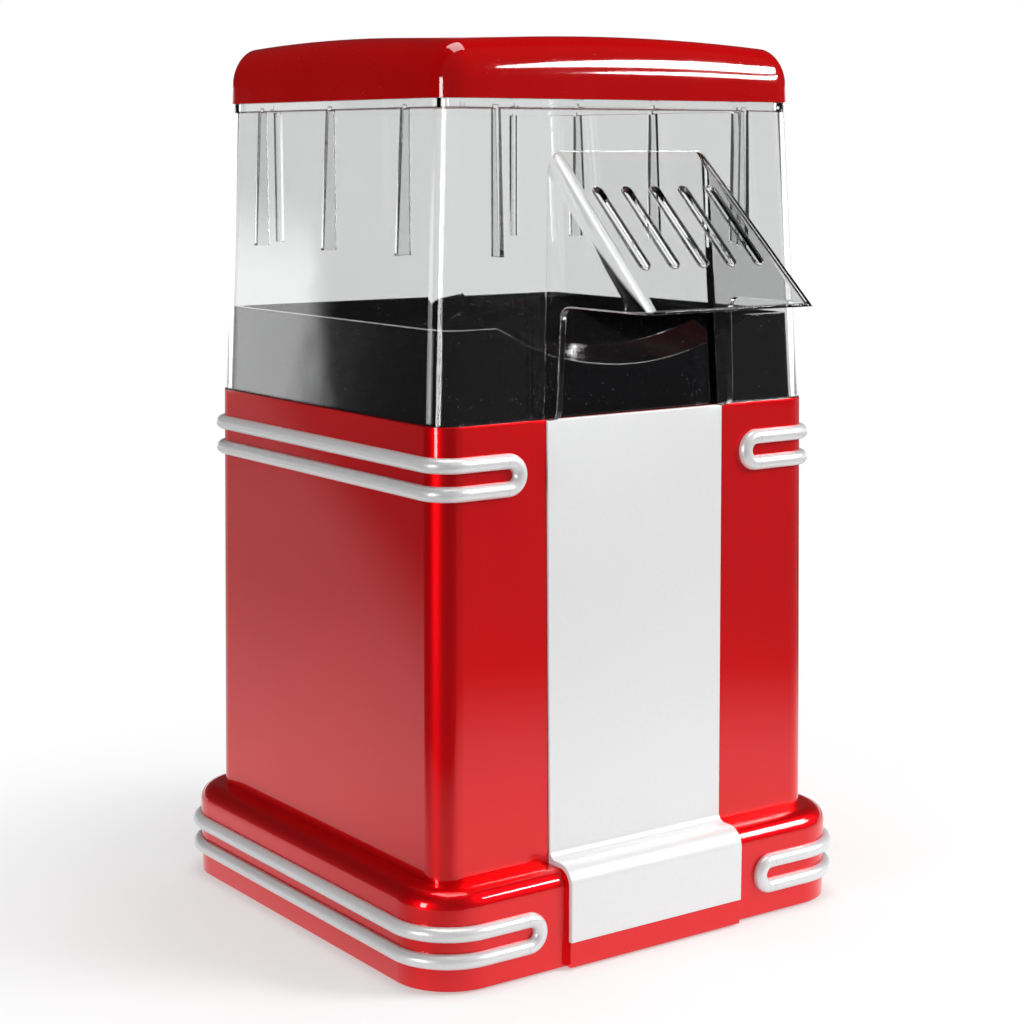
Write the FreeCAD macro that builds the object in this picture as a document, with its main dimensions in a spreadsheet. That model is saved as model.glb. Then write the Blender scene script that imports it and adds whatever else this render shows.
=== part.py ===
import FreeCAD, Part
import Sketcher
import math
import os
import re

# Hot-air popcorn maker. Millimetres and degrees. The origin is on the table, under the axis of the
# popping chamber. The front faces -Y and up is +Z.
SIZES = [
    # Body
    ("bodyTopWidth", 155.0, "width of the body at its top edge"),
    ("bodyTopDepth", 147.0, "depth of the body at its top edge"),
    ("bodyHeight", 147.0, "height of the body above the plinth"),
    ("bodyDraft", 2.0, "how far each side leans out towards the bottom"),
    ("bodyCornerRadius", 9.0, "upright corners of the body"),
    ("bodyWall", 2.5, "wall of the body"),
    ("bodyBossInset", 6.5, "screw bosses inside the body's lower corners"),
    ("ledgeThickness", 2.5, "inner ledge that carries the tray"),
    ("ledgeWidth", 4.0, "inner ledge that carries the tray"),
    # Plinth and underside
    ("plinthHeight", 33.5, "table to ledge"),
    ("plinthLedge", 9.75, "how far the plinth stands out round the body"),
    ("plinthCornerRadius", 20.0, "upright corners of the plinth"),
    ("plinthEdgeRadius", 6.0, "rounded upper edge"),
    ("plinthWall", 2.5, "wall of the plinth"),
    ("plinthOpeningInset", 9.5, "opening for the works, in from the body's lower edge"),
    ("plinthBossInset", 3.5, "screw bosses in from the plinth's inner wall"),
    ("plinthBossSpan", 90.0, "front to back between screw bosses"),
    ("footDrop", 1.0, "feet below the plinth's rim"),
    ("footDiameter", 14.0, "rubber feet"),
    ("footInset", 19.0, "middle of a foot in from the plinth's sides"),
    ("footSeat", 0.8, "depth of the seat of a foot in the bottom plate"),
    ("plateRecess", 1.0, "bottom plate above the plinth's rim"),
    ("plateThickness", 3.0, "bottom plate"),
    ("grilleRadius", 28.0, "middle of the air slots in the bottom plate"),
    ("grilleSlotLength", 22.0, "air slots"),
    ("grilleSlotWidth", 3.0, "air slots"),
    ("grilleSlots", 24, "number of air slots"),
    # Front panel
    ("panelWidth", 73.0, "strip and the plinth's front block"),
    ("panelThickness", 1.6, "strip"),
    ("panelProud", 0.6, "strip in front of the surface beside it"),
    ("panelBottom", 9.7, "lower edge of the strip above the table"),
    ("panelBendRadius", 6.6, "bend over the plinth's front edge"),
    ("panelCoveRadius", 3.0, "hollow bend at the foot of the body"),
    ("blockProud", 2.5, "front block in front of the plinth"),
    # Trims
    ("trimDiameter", 5.0, "rods of the trims"),
    ("trimPitch", 9.0, "between the two rods of a trim"),
    ("trimStandoff", 0.4, "rod's middle in front of the surface"),
    ("trimEnd", 45.0, "middle of the front to the end of a trim"),
    ("upperTrimDrop", 16.5, "body's top edge to the middle of the upper trims"),
    ("lowerTrimHeight", 15.6, "table to the middle of the lower trims"),
    # Hood
    ("hoodInset", 0.75, "hood in from the body's top edge"),
    ("hoodHeight", 101.0, "height of the hood to its shoulder"),
    ("hoodSideDraft", 5.6, "how far the side walls lean in towards the top"),
    ("hoodFrontDraft", 3.9, "how far the front wall leans back; the back wall is upright"),
    ("hoodCornerRadius", 8.0, "upright corners of the hood"),
    ("hoodWall", 2.4, "wall of the hood"),
    ("shoulderThickness", 3.0, "shoulder that carries the lid"),
    ("neckStep", 2.6, "neck in from the shoulder's edge"),
    ("neckHeight", 6.0, "neck above the shoulder"),
    ("neckWall", 1.8, "wall of the neck"),
    ("ribLength", 46.0, "inner ribs below the shoulder"),
    ("ribDepth", 2.6, "inner ribs out of the wall at their top"),
    ("ribThickness", 2.0, "inner ribs"),
    ("sideRibPitch", 46.0, "between the ribs of a side wall"),
    ("sideRibOffset", 4.0, "middle rib of a side wall behind the axis"),
    ("endRibOffset", 51.0, "ribs of the front and back walls from the middle"),
    # Spout
    ("spoutBottomWidth", 74.0, "outer width at the hood's lower edge"),
    ("spoutTopWidth", 66.0, "outer width at the top of the slope"),
    ("spoutTopHeight", 86.0, "top of the slope above the body"),
    ("spoutTipHeight", 37.0, "tip above the body"),
    ("spoutTipThickness", 0.8, "front edge of the slope"),
    ("spoutTopInset", 4.8, "top of the slope behind the hood's lower edge"),
    ("spoutReach", 48.8, "tip in front of the hood's lower edge"),
    ("spoutFlange", 6.8, "cheeks in front of the hood's lower edge"),
    ("spoutCornerRadius", 4.0, "corners of the cheeks"),
    ("spoutEdgeRadius", 5.0, "long edges of the slope"),
    ("spoutWall", 2.2, "wall of the spout"),
    ("slotWidth", 3.6, "steam slots in the slope"),
    ("slotLength", 35.6, "steam slots"),
    ("slotPitch", 11.6, "between steam slots"),
    ("slotFromTop", 18.4, "steam slots below the top of the slope, along it"),
    # Lid
    ("lidHeight", 20.5, "lid's rim to the top of its crown"),
    ("lidOverhang", 1.4, "lid beyond the hood's shoulder"),
    ("lidDraft", 1.0, "how far each side leans in towards the top"),
    ("lidCornerRadius", 10.5, "upright corners of the lid"),
    ("lidEdgeRadius", 9.0, "rounded upper edge"),
    ("lidCrownRadius", 2500.0, "radius of the crowned top"),
    ("lidWall", 2.2, "wall of the lid"),
    # Tray
    ("trayRise", 29.5, "tray's rim above the body"),
    ("trayWall", 2.4, "wall of the tray"),
    ("trayClearance", 0.45, "tray inside the hood"),
    ("traySpigot", 6.0, "tray below the body's top edge"),
    ("trayBossInset", 8.0, "screw bosses in from the tray's sides"),
    ("seatHeight", 7.0, "chamber's seat above the body's top edge"),
    ("holeMargin", 3.0, "funnel's hole round the chamber"),
    ("seatMargin", 7.0, "chamber's seat beyond the chamber's flange"),
    ("funnelThickness", 2.5, "funnel sheet"),
    ("funnelAngle", 20.0, "slope of the funnel"),
    ("lipDip", 13.5, "lowest point of the lip below the tray's rim"),
    ("lipRadius", 122.0, "scoop of the lip"),
    ("lipAngle", 24.0, "slope of the lip"),
    ("lipDepth", 12.0, "front to back of the lip"),
    ("lipWidth", 76.0, "block under the lip"),
    # Popping chamber and heater
    ("chamberRadius", 39.0, "inner radius of the popping chamber"),
    ("chamberWall", 1.0, "wall of the chamber"),
    ("chamberCorner", 5.0, "sloped corner of the chamber's floor"),
    ("chamberFlange", 11.0, "width of the chamber's flange"),
    ("chamberSlots", 16, "number of air slots in the chamber"),
    ("chamberSlotWidth", 1.8, "air slots in the chamber"),
    ("chamberSlotHeight", 12.0, "air slots in the chamber"),
    ("chamberSlotLean", 3.0, "air slots in the chamber"),
    ("chamberGap", 6.8, "chamber's floor above the coil"),
    ("chamberFlangeThickness", 1.2, "chamber's flange"),
    ("gasketThickness", 1.5, "seal under the tray"),
    ("shroudWall", 1.0, "heater shroud"),
    ("shroudFlange", 10.0, "width of the shroud's flanges"),
    ("boardLedge", 3.0, "inner ledge that carries the heater board"),
    ("boardHeight", 14.0, "heater board"),
    ("boardThickness", 1.2, "heater board"),
    ("coilDiameter", 4.0, "outer diameter of the wound heating wire"),
    ("coilInnerRadius", 12.0, "innermost turn"),
    ("coilPitch", 8.0, "between turns"),
    ("thermostatRadius", 4.4, "thermostat"),
    ("thermostatHeight", 7.0, "thermostat"),
    ("fuseRadius", 2.0, "thermal fuse"),
    ("fuseLength", 11.0, "thermal fuse"),
    ("fuseWireRadius", 0.5, "wires of the thermal fuse"),
    ("fuseWireLength", 4.0, "wires of the thermal fuse"),
    ("tabThickness", 0.8, "push-on terminals"),
    ("tabWidth", 4.8, "push-on terminals"),
    ("tabLength", 6.0, "push-on terminals"),
    # Blower
    ("ductRadius", 44.0, "inner radius of the fan duct"),
    ("ductWall", 2.5, "wall of the duct"),
    ("ductHeight", 36.0, "height of the duct"),
    ("ductTopHeight", 58.5, "duct's upper face above the plinth"),
    ("ductInletRadius", 28.0, "air inlet of the duct"),
    ("ductFlange", 15.5, "width of the duct's flange"),
    ("ductFlangeThickness", 3.0, "duct's flange"),
    ("fanTipGap", 3.0, "fan inside the duct"),
    ("fanGap", 2.0, "fan above the duct's floor"),
    ("fanHeight", 19.5, "fan"),
    ("fanHubRadius", 6.0, "hub of the fan"),
    ("fanBlades", 10, "number of blades"),
    ("bladeThickness", 1.6, "fan blades and plate"),
    # Motor
    ("motorRadius", 17.5, "motor can"),
    ("motorLength", 36.5, "motor can"),
    ("motorWall", 1.2, "motor can"),
    ("motorBossRadius", 4.9, "boss on the motor's upper face"),
    ("motorBossHeight", 3.0, "boss on the motor's upper face"),
    ("capThickness", 2.5, "motor's end cap"),
    ("shaftRadius", 1.5, "motor shaft"),
    ("bushingRadius", 3.5, "motor bushings"),
    ("bracketThickness", 1.5, "motor bracket"),
    ("bracketLength", 84.0, "motor bracket"),
    ("bracketWidth", 24.0, "motor bracket"),
    ("bracketStandoff", 2.0, "bracket below the duct"),
    ("bracketScrewRadius", 36.0, "bracket screws from the axis"),
    ("motorScrewRadius", 9.0, "motor screws from the axis"),
    ("magnetThickness", 2.8, "magnets"),
    ("rotorGap", 0.6, "rotor inside the magnets"),
    ("circuitThickness", 1.6, "rectifier board"),
    ("diodeWidth", 2.6, "diodes on the rectifier board"),
    ("diodePitch", 6.0, "between diodes"),
    # Switch and cord inlet
    ("switchOffset", 20.0, "switch from the middle of the back"),
    ("switchHeight", 17.0, "middle of the switch above the table"),
    ("bezelWidth", 15.0, "switch bezel"),
    ("bezelHeight", 21.0, "switch bezel"),
    ("bezelThickness", 1.6, "switch bezel"),
    ("switchDepth", 15.0, "switch behind the plinth's surface"),
    ("bezelLap", 0.8, "bezel over the edge of its opening"),
    ("switchWall", 1.65, "wall of the switch"),
    ("rockerTilt", 7.0, "rocker to either side of its middle"),
    ("rockerPivotDepth", 1.0, "rocker's axis behind the plinth's surface"),
    ("rockerPinRadius", 1.0, "rocker's pins"),
    ("rockerSideGap", 0.3, "rocker beside the switch's walls"),
    ("rockerEndGap", 0.8, "rocker's ends inside the switch"),
    ("rockerDepth", 4.0, "rocker behind its axis"),
    ("terminalPitch", 8.0, "between the switch's terminals"),
    ("glandOffset", 22.0, "cord gland from the middle of the back"),
    ("glandHeight", 15.0, "middle of the cord gland above the table"),
    ("glandBoreRadius", 3.6, "bore for the cord"),
    ("glandNeckRadius", 6.0, "gland in the plinth's wall"),
    ("glandFlangeRadius", 9.0, "flange of the gland"),
    ("glandFlangeThickness", 2.5, "flange of the gland"),
    ("glandLug", 1.0, "inner rim that holds the gland"),
    ("glandLugLength", 3.0, "inner rim that holds the gland"),
    ("leadRadius", 1.1, "inner wires"),
    ("leadBend", 5.0, "bends of the inner wires"),
    ("leadPitch", 2.8, "between the wires behind the gland"),
    ("leadReach", 30.0, "wires in front of the plinth's back"),
    ("leadRiser", 42.0, "rising wires from the middle"),
    # Screws and fits
    ("screwRadius", 1.45, "screw shanks"),
    ("screwHeadRadius", 2.75, "screw heads"),
    ("screwHeadHeight", 1.8, "screw heads"),
    ("screwBite", 9.0, "length of a screw in its boss"),
    ("bossRadius", 4.0, "screw bosses"),
    ("pilotClearance", 0.05, "screw in its boss"),
    ("holeClearance", 0.3, "screw in a through hole"),
    ("fitGap", 0.15, "inserted pieces beside the walls round them"),
    ("pressGap", 0.02, "pieces pressed onto the shaft"),
    ("runningGap", 0.05, "shaft in its bushings, pins in their holes"),
]

doc = FreeCAD.newDocument("PopcornMaker")
sheet = doc.addObject("Spreadsheet::Sheet", "Sizes")
for row, (alias, size, meaning) in enumerate(SIZES, start=1):
    sheet.set(f"A{row}", meaning)
    sheet.set(f"B{row}", str(size))
    sheet.setAlias(f"B{row}", alias)
doc.recompute()
ALIASES = {alias for alias, size, meaning in SIZES}
nodes = []


# Expressions: sizes are written by their plain names and bound to the sheet's cells

def expr(text):
    return re.sub(r"[A-Za-z_]\w*", lambda word: "Sizes." + word[0] if word[0] in ALIASES else word[0], text)


def number(text):
    return float(sheet.evalExpression(expr(text)))


def bind(item, prop, text):
    item.setExpression(prop, expr(text))


def place(item, x="0", y="0", z="0"):
    for axis, text in (("x", x), ("y", y), ("z", z)):
        if text != "0":
            bind(item, f"Placement.Base.{axis}", text)


def node(item, label):
    item.Label = label
    nodes.append(item)
    return item


# Primitives and booleans

def box(name, across, along, upright):
    item = doc.addObject("Part::Box", name)
    for prop, axis, (low, high) in zip(("Length", "Width", "Height"), "xyz", (across, along, upright)):
        bind(item, prop, f"({high}) - ({low})")
        bind(item, f"Placement.Base.{axis}", low)
    return item


def cylinder(name, radius, upright, x="0", y="0"):
    low, high = upright
    item = doc.addObject("Part::Cylinder", name)
    bind(item, "Radius", radius)
    bind(item, "Height", f"({high}) - ({low})")
    place(item, x, y, low)
    return item


def lying_cylinder(name, radius, length, x, y, z, axis):
    # Middle of the cylinder at x, y, z; the axis is X or Y
    item = doc.addObject("Part::Cylinder", name)
    turn = FreeCAD.Vector(0, 1, 0) if axis == "X" else FreeCAD.Vector(-1, 0, 0)
    item.Placement = FreeCAD.Placement(FreeCAD.Vector(), FreeCAD.Rotation(turn, 90))
    bind(item, "Radius", radius)
    bind(item, "Height", length)
    start = f" - ({length}) / 2"
    place(item, x + start if axis == "X" else x, y + start if axis == "Y" else y, z)
    return item


def fuse(name, *shapes):
    item = doc.addObject("Part::MultiFuse", name)
    item.Shapes = list(shapes)
    item.Refine = True
    return item


def common(name, *shapes):
    item = doc.addObject("Part::MultiCommon", name)
    item.Shapes = list(shapes)
    return item


def cut(name, base, *tools):
    item = doc.addObject("Part::Cut", name)
    item.Base = base
    item.Tool = tools[0] if len(tools) == 1 else fuse(name + "Tools", *tools)
    item.Refine = True
    return item


def group(label, pieces):
    item = doc.addObject("Part::Compound", label)
    item.Links = pieces
    return node(item, label)


def tube(name, outer, inner, upright):
    low, high = upright
    bore = cylinder(name + "Bore", inner, (f"{low} - 1", f"{high} + 1"))
    return cut(name, cylinder(name + "Outside", outer, upright), bore)


def screws(label, places, seat, point):
    # Heights of the seat under the head and of the screw's point
    upwards = number(point) > number(seat)
    back = f"{seat} - screwHeadHeight" if upwards else f"{seat} + screwHeadHeight"
    heads = (back, seat) if upwards else (seat, back)
    shanks = (seat, point) if upwards else (point, seat)
    pieces = []
    for i, (x, y) in enumerate(places):
        top = cylinder(f"{label}_head{i}", "screwHeadRadius", heads, x, y)
        shank = cylinder(f"{label}_shank{i}", "screwRadius", shanks, x, y)
        pieces.append(fuse(f"{label}_{i}", top, shank))
    return group(label, pieces)


def about(middle, half):
    return f"{middle} - ({half})", f"{middle} + ({half})"


def corners(x, y):
    return [(f"({a}{x})", f"({b}{y})") for a in ("", "-") for b in ("", "-")]


# Sketches

def new_sketch(owner, name, plane="XY_Plane", offset="0"):
    if owner is doc:
        sketch = doc.addObject("Sketcher::SketchObject", name)
        place(sketch, z=offset)
        return sketch
    sketch = owner.newObject("Sketcher::SketchObject", name)
    sketch.AttachmentSupport = [(item, "") for item in owner.Origin.OriginFeatures if item.Role == plane]
    sketch.MapMode = "FlatFace"
    if offset != "0":
        bind(sketch, "AttachmentOffset.Base.z", offset)
    return sketch


def dimension(sketch, name, text, kind, *where):
    index = sketch.addConstraint(Sketcher.Constraint(kind, *where, number(text)))
    sketch.renameConstraint(index, name)
    bind(sketch, f"Constraints.{name}", text)


def polygon(owner, name, plane, points, offset="0"):
    sketch = new_sketch(owner, name, plane, offset)
    spots = [FreeCAD.Vector(number(x), number(y), 0) for x, y in points]
    count = len(spots)
    for i in range(count):
        sketch.addGeometry(Part.LineSegment(spots[i], spots[(i + 1) % count]), False)
    for i in range(count):
        sketch.addConstraint(Sketcher.Constraint("Coincident", i, 2, (i + 1) % count, 1))
    for i, (x, y) in enumerate(points):
        dimension(sketch, f"across{i}", x, "DistanceX", -1, 1, i, 1)
        dimension(sketch, f"up{i}", y, "DistanceY", -1, 1, i, 1)
    return sketch


def add_rounded(sketch, name, width, depth, radius, x="0", y="0"):
    # Rectangle with rounded corners round the point x, y
    first = sketch.GeometryCount
    middle = FreeCAD.Vector(number(x), number(y), 0)
    r = number(radius)
    a = number(width) / 2 - r
    b = number(depth) / 2 - r
    for i, (cx, cy) in enumerate(((a, b), (-a, b), (-a, -b), (a, -b))):
        circle = Part.Circle(middle + FreeCAD.Vector(cx, cy, 0), FreeCAD.Vector(0, 0, 1), r)
        sketch.addGeometry(Part.ArcOfCircle(circle, i * math.pi / 2, (i + 1) * math.pi / 2), False)
    for i in range(4):
        start = sketch.getPoint(first + i, 2)
        end = sketch.getPoint(first + (i + 1) % 4, 1)
        sketch.addGeometry(Part.LineSegment(start, end), False)
    for i in range(4):
        sketch.addConstraint(Sketcher.Constraint("Tangent", first + i, 2, first + 4 + i, 1))
        sketch.addConstraint(Sketcher.Constraint("Tangent", first + 4 + i, 2, first + (i + 1) % 4, 1))
        sketch.addConstraint(Sketcher.Constraint("Vertical" if i % 2 else "Horizontal", first + 4 + i))
    for i in range(1, 4):
        sketch.addConstraint(Sketcher.Constraint("Equal", first, first + i))
    dimension(sketch, name + "Radius", radius, "Radius", first)
    dimension(sketch, name + "Back", f"{y} + ({depth}) / 2", "DistanceY", -1, 1, first + 4, 1)
    dimension(sketch, name + "Left", f"{x} - ({width}) / 2", "DistanceX", -1, 1, first + 5, 1)
    dimension(sketch, name + "Front", f"{y} - ({depth}) / 2", "DistanceY", -1, 1, first + 6, 1)
    dimension(sketch, name + "Right", f"{x} + ({width}) / 2", "DistanceX", -1, 1, first + 7, 1)


def rounded(owner, name, width, depth, radius, offset="0", middle="0"):
    sketch = new_sketch(owner, name, "XY_Plane", offset)
    add_rounded(sketch, "outline", width, depth, radius, "0", middle)
    return sketch


def circles(owner, name, places, radius, offset="0", plane="XY_Plane"):
    sketch = new_sketch(owner, name, plane, offset)
    for i, (x, y) in enumerate(places):
        middle = FreeCAD.Vector(number(x), number(y), 0)
        sketch.addGeometry(Part.Circle(middle, FreeCAD.Vector(0, 0, 1), number(radius)), False)
        dimension(sketch, f"radius{i}", radius, "Radius", i)
        dimension(sketch, f"across{i}", x, "DistanceX", -1, 1, i, 3)
        dimension(sketch, f"up{i}", y, "DistanceY", -1, 1, i, 3)
    return sketch


def tapered(name, sections):
    # Solid through rounded rectangles, each given as width, depth, corner radius and height, and the
    # middle of its depth where that isn't on the axis
    item = doc.addObject("Part::Loft", name)
    item.Sections = [rounded(doc, f"{name}Section{i}", *section) for i, section in enumerate(sections)]
    item.Solid = True
    item.Ruled = True
    return item


def extruded(name, sketch, length):
    item = doc.addObject("Part::Extrusion", name)
    item.Base = sketch
    item.DirMode = "Normal"
    item.Solid = True
    bind(item, "LengthFwd", length)
    return item


# Bodies made of features

def new_body(label):
    return node(doc.addObject("PartDesign::Body", label), label)


def feature(body, kind, sketch, **settings):
    item = body.newObject("PartDesign::" + kind, sketch.Name + kind)
    item.Profile = sketch
    for prop, setting in settings.items():
        setattr(item, prop, setting)
    return item


def pad(body, sketch, length, **settings):
    item = feature(body, "Pad", sketch, **settings)
    bind(item, "Length", length)
    return item


def pocket(body, sketch, length, **settings):
    item = feature(body, "Pocket", sketch, **settings)
    bind(item, "Length", length)
    return item


def turned(body, points):
    # Profile of radius and height, turned about the upright axis
    sketch = polygon(body, body.Name + "Profile", "XZ_Plane", points)
    return feature(body, "Revolution", sketch, ReferenceAxis=(sketch, ["V_Axis"]), Angle=360)


def upright_outline(name, points, width):
    # Prism across the object from an outline of depth and height
    body = doc.addObject("PartDesign::Body", name)
    pad(body, polygon(body, name + "Outline", "YZ_Plane", points), width, SideType="Symmetric")
    return body


def ring_of(body, item, count):
    axis = [origin for origin in body.Origin.OriginFeatures if origin.Role == "Z_Axis"][0]
    pattern = body.newObject("PartDesign::PolarPattern", item.Name + "Ring")
    pattern.Originals = [item]
    pattern.Axis = (axis, [""])
    pattern.Angle = 360
    bind(pattern, "Occurrences", count)
    body.Tip = pattern
    return pattern


def edges_where(shape, test):
    return [f"Edge{i}" for i, edge in enumerate(shape.Edges, start=1) if test(edge.BoundBox)]


def body_fillet(body, base, radius, test):
    doc.recompute()
    item = body.newObject("PartDesign::Fillet", base.Name + "Round")
    item.Base = (base, edges_where(base.Shape, test))
    bind(item, "Radius", radius)
    return item


def round_edges(name, base, radius, test):
    doc.recompute()
    item = doc.addObject("Part::Fillet", name)
    item.Base = base
    size = number(radius)
    item.Edges = [(int(edge[4:]), size, size) for edge in edges_where(base.Shape, test)]
    return item


def near(value, text):
    return abs(value - number(text)) < 0.02


def flat_at(bounds, axis, text):
    return near(getattr(bounds, axis + "Min"), text) and near(getattr(bounds, axis + "Max"), text)


# Heights

plateBottom = "(footDrop + plateRecess)"
plateTop = f"({plateBottom} + plateThickness)"
plinthInside = "(plinthHeight - plinthWall)"
bodyTop = "(plinthHeight + bodyHeight)"
ledgeTop = f"({bodyTop} - traySpigot)"
ledgeBottom = f"({ledgeTop} - ledgeThickness)"
trayTop = f"({bodyTop} + trayRise)"
traySeat = f"({bodyTop} + seatHeight)"
chamberTop = f"({traySeat} - gasketThickness)"
shroudTop = f"({chamberTop} - chamberFlangeThickness)"
ductTop = "(plinthHeight + ductTopHeight)"
ductBottom = f"({ductTop} - ductHeight)"
boardTop = f"({ductTop} + boardHeight)"
coilMiddle = f"({boardTop} + coilDiameter / 2 + fitGap)"
chamberBottom = f"({coilMiddle} + coilDiameter / 2 + chamberGap)"
fanBottom = f"({ductBottom} + ductWall + fanGap)"
fanTop = f"({fanBottom} + fanHeight)"
bracketTop = f"({ductBottom} - bracketStandoff)"
motorTop = f"({bracketTop} - bracketThickness)"
motorBottom = f"({motorTop} - motorLength)"
capBottom = f"({motorBottom} - capThickness)"
hoodTop = f"({bodyTop} + hoodHeight)"
lidTop = f"({hoodTop} + lidHeight)"

# Widths and depths

bodyFootWidth = "(bodyTopWidth + 2 * bodyDraft)"
bodyFootDepth = "(bodyTopDepth + 2 * bodyDraft)"
plinthWidth = f"({bodyFootWidth} + 2 * plinthLedge)"
plinthDepth = f"({bodyFootDepth} + 2 * plinthLedge)"
plinthBack = f"({plinthDepth} / 2)"
hoodFootWidth = "(bodyTopWidth - 2 * hoodInset)"
hoodFootDepth = "(bodyTopDepth - 2 * hoodInset)"
hoodFront = f"({hoodFootDepth} / 2)"
bossX = f"({plinthWidth} / 2 - plinthWall - plinthBossInset)"
bossY = "(plinthBossSpan / 2)"
bodyBossX = f"({bodyFootWidth} / 2 - bodyBossInset)"
bodyBossY = f"({bodyFootDepth} / 2 - bodyBossInset)"
pilotRadius = "(screwRadius + pilotClearance)"
holeRadius = "(screwRadius + holeClearance)"


def body_half_depth(height):
    return f"(bodyTopDepth / 2 + bodyDraft * ({bodyTop} - ({height})) / bodyHeight)"


def hood_side(height, inset):
    # Side wall of the hood from the middle at a height, its surface moved in by an inset
    return f"({hoodFootWidth} / 2 - hoodSideDraft * (({height}) - {bodyTop}) / hoodHeight - ({inset}))"


def hood_front(height, inset):
    return f"({hoodFront} - hoodFrontDraft * (({height}) - {bodyTop}) / hoodHeight - ({inset}))"


def hood_back(inset):
    return f"({hoodFront} - ({inset}))"


def hood_section(height, inset):
    front = hood_front(height, inset)
    back = hood_back(inset)
    return (f"(2 * {hood_side(height, inset)})", f"({front} + {back})",
            f"hoodCornerRadius - min(hoodCornerRadius - 1; {inset})", height, f"(({back} - {front}) / 2)")


# Plinth, with the block in the middle of its front

plinth = new_body("base_plinth")
outline = rounded(plinth, "PlinthOutline", plinthWidth, plinthDepth, "plinthCornerRadius", "footDrop")
foot = pad(plinth, outline, "plinthHeight - footDrop")
body_fillet(plinth, foot, "plinthEdgeRadius", lambda b: flat_at(b, "Z", "plinthHeight"))
blockFront = f"(-{plinthDepth} / 2 - blockProud)"
panelBack = f"({blockFront} - panelProud + panelThickness)"
blockBack = f"(-{plinthDepth} / 2 + 2 * plinthEdgeRadius)"
blockSide = polygon(plinth, "PlinthBlock", "YZ_Plane", [
    (blockBack, "footDrop"),
    (blockFront, "footDrop"),
    (blockFront, "panelBottom"),
    (panelBack, "panelBottom"),
    (panelBack, "plinthHeight"),
    (blockBack, "plinthHeight"),
])
block = pad(plinth, blockSide, "panelWidth", SideType="Symmetric")
body_fillet(plinth, block, "panelBendRadius - panelThickness + 2 * fitGap",
            lambda b: flat_at(b, "Z", "plinthHeight") and flat_at(b, "Y", panelBack))
inside = rounded(plinth, "PlinthInside", f"{plinthWidth} - 2 * plinthWall", f"{plinthDepth} - 2 * plinthWall",
                 "plinthCornerRadius - plinthWall", "footDrop")
pocket(plinth, inside, f"{plinthInside} - footDrop", Reversed=True)
opening = rounded(plinth, "PlinthOpening", f"{bodyFootWidth} - 2 * plinthOpeningInset",
                  f"{bodyFootDepth} - 2 * plinthOpeningInset", "bodyCornerRadius", plinthInside)
pocket(plinth, opening, "2 * plinthWall", Reversed=True)
pad(plinth, circles(plinth, "PlinthBosses", corners(bossX, bossY), "bossRadius", plateTop),
    f"{plinthInside} - {plateTop}")
pocket(plinth, circles(plinth, "PlinthPilots", corners(bossX, bossY), pilotRadius, plateTop),
       "screwBite + 1", Reversed=True)
pocket(plinth, circles(plinth, "PlinthBodyHoles", corners(bodyBossX, bodyBossY), holeRadius, "plinthHeight"),
       "2 * plinthWall")
switchCut = new_sketch(plinth, "PlinthSwitchCut", "XZ_Plane", f"-{plinthBack}")
add_rounded(switchCut, "outline", "bezelWidth - 2 * bezelLap", "bezelHeight - 2 * bezelLap", "bezelLap",
            "switchOffset", "switchHeight")
pocket(plinth, switchCut, "2 * plinthWall", Reversed=True)
glandHole = circles(plinth, "PlinthGlandHole", [("-glandOffset", "glandHeight")],
                    "glandNeckRadius + fitGap", f"-{plinthBack}", "XZ_Plane")
pocket(plinth, glandHole, "2 * plinthWall", Reversed=True)

# Bottom plate with the air inlet, and the rubber feet

plate = new_body("bottom_plate")
plateGap = "(2 * plinthWall + 2 * fitGap)"
outline = rounded(plate, "PlateOutline", f"{plinthWidth} - {plateGap}", f"{plinthDepth} - {plateGap}",
                  "plinthCornerRadius - plinthWall", plateBottom)
pad(plate, outline, "plateThickness")
pocket(plate, circles(plate, "PlateHoles", corners(bossX, bossY), holeRadius, plateTop), "2 * plateThickness")
pocket(plate, circles(plate, "PlateHeadSeats", corners(bossX, bossY), "screwHeadRadius + holeClearance", plateBottom),
       "screwHeadHeight", Reversed=True)
footPlaces = corners(f"({plinthWidth} / 2 - footInset)", f"({plinthDepth} / 2 - footInset)")
pocket(plate, circles(plate, "PlateFootSeats", footPlaces, "footDiameter / 2 + fitGap", plateBottom),
       "footSeat", Reversed=True)
slot = new_sketch(plate, "PlateSlot", "XY_Plane", plateTop)
add_rounded(slot, "outline", "grilleSlotLength", "grilleSlotWidth", "grilleSlotWidth * 0.49", "grilleRadius")
ring_of(plate, pocket(plate, slot, "2 * plateThickness"), "grilleSlots")
group("rubber_feet", [cylinder(f"Foot{i}", "footDiameter / 2", ("0", f"{plateBottom} + footSeat"), x, y)
                      for i, (x, y) in enumerate(footPlaces)])

# Body: a tapered box, open above and below, with the panel's recess in its front

bodyOuter = tapered("BodyOuter", [
    (bodyFootWidth, bodyFootDepth, "bodyCornerRadius", "plinthHeight"),
    ("bodyTopWidth", "bodyTopDepth", "bodyCornerRadius", bodyTop),
])
innerRadius = "bodyCornerRadius - bodyWall"
bodyInner = tapered("BodyInner", [
    (f"{bodyFootWidth} - 2 * bodyWall", f"{bodyFootDepth} - 2 * bodyWall", innerRadius, "plinthHeight"),
    ("bodyTopWidth - 2 * bodyWall", "bodyTopDepth - 2 * bodyWall", innerRadius, bodyTop),
])
ledgePlate = tapered("LedgePlate", [
    ("bodyTopWidth - bodyWall", "bodyTopDepth - bodyWall", innerRadius, ledgeBottom),
    ("bodyTopWidth - bodyWall", "bodyTopDepth - bodyWall", innerRadius, ledgeTop),
])
ledgeInset = "(2 * bodyWall + 2 * ledgeWidth)"
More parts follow.
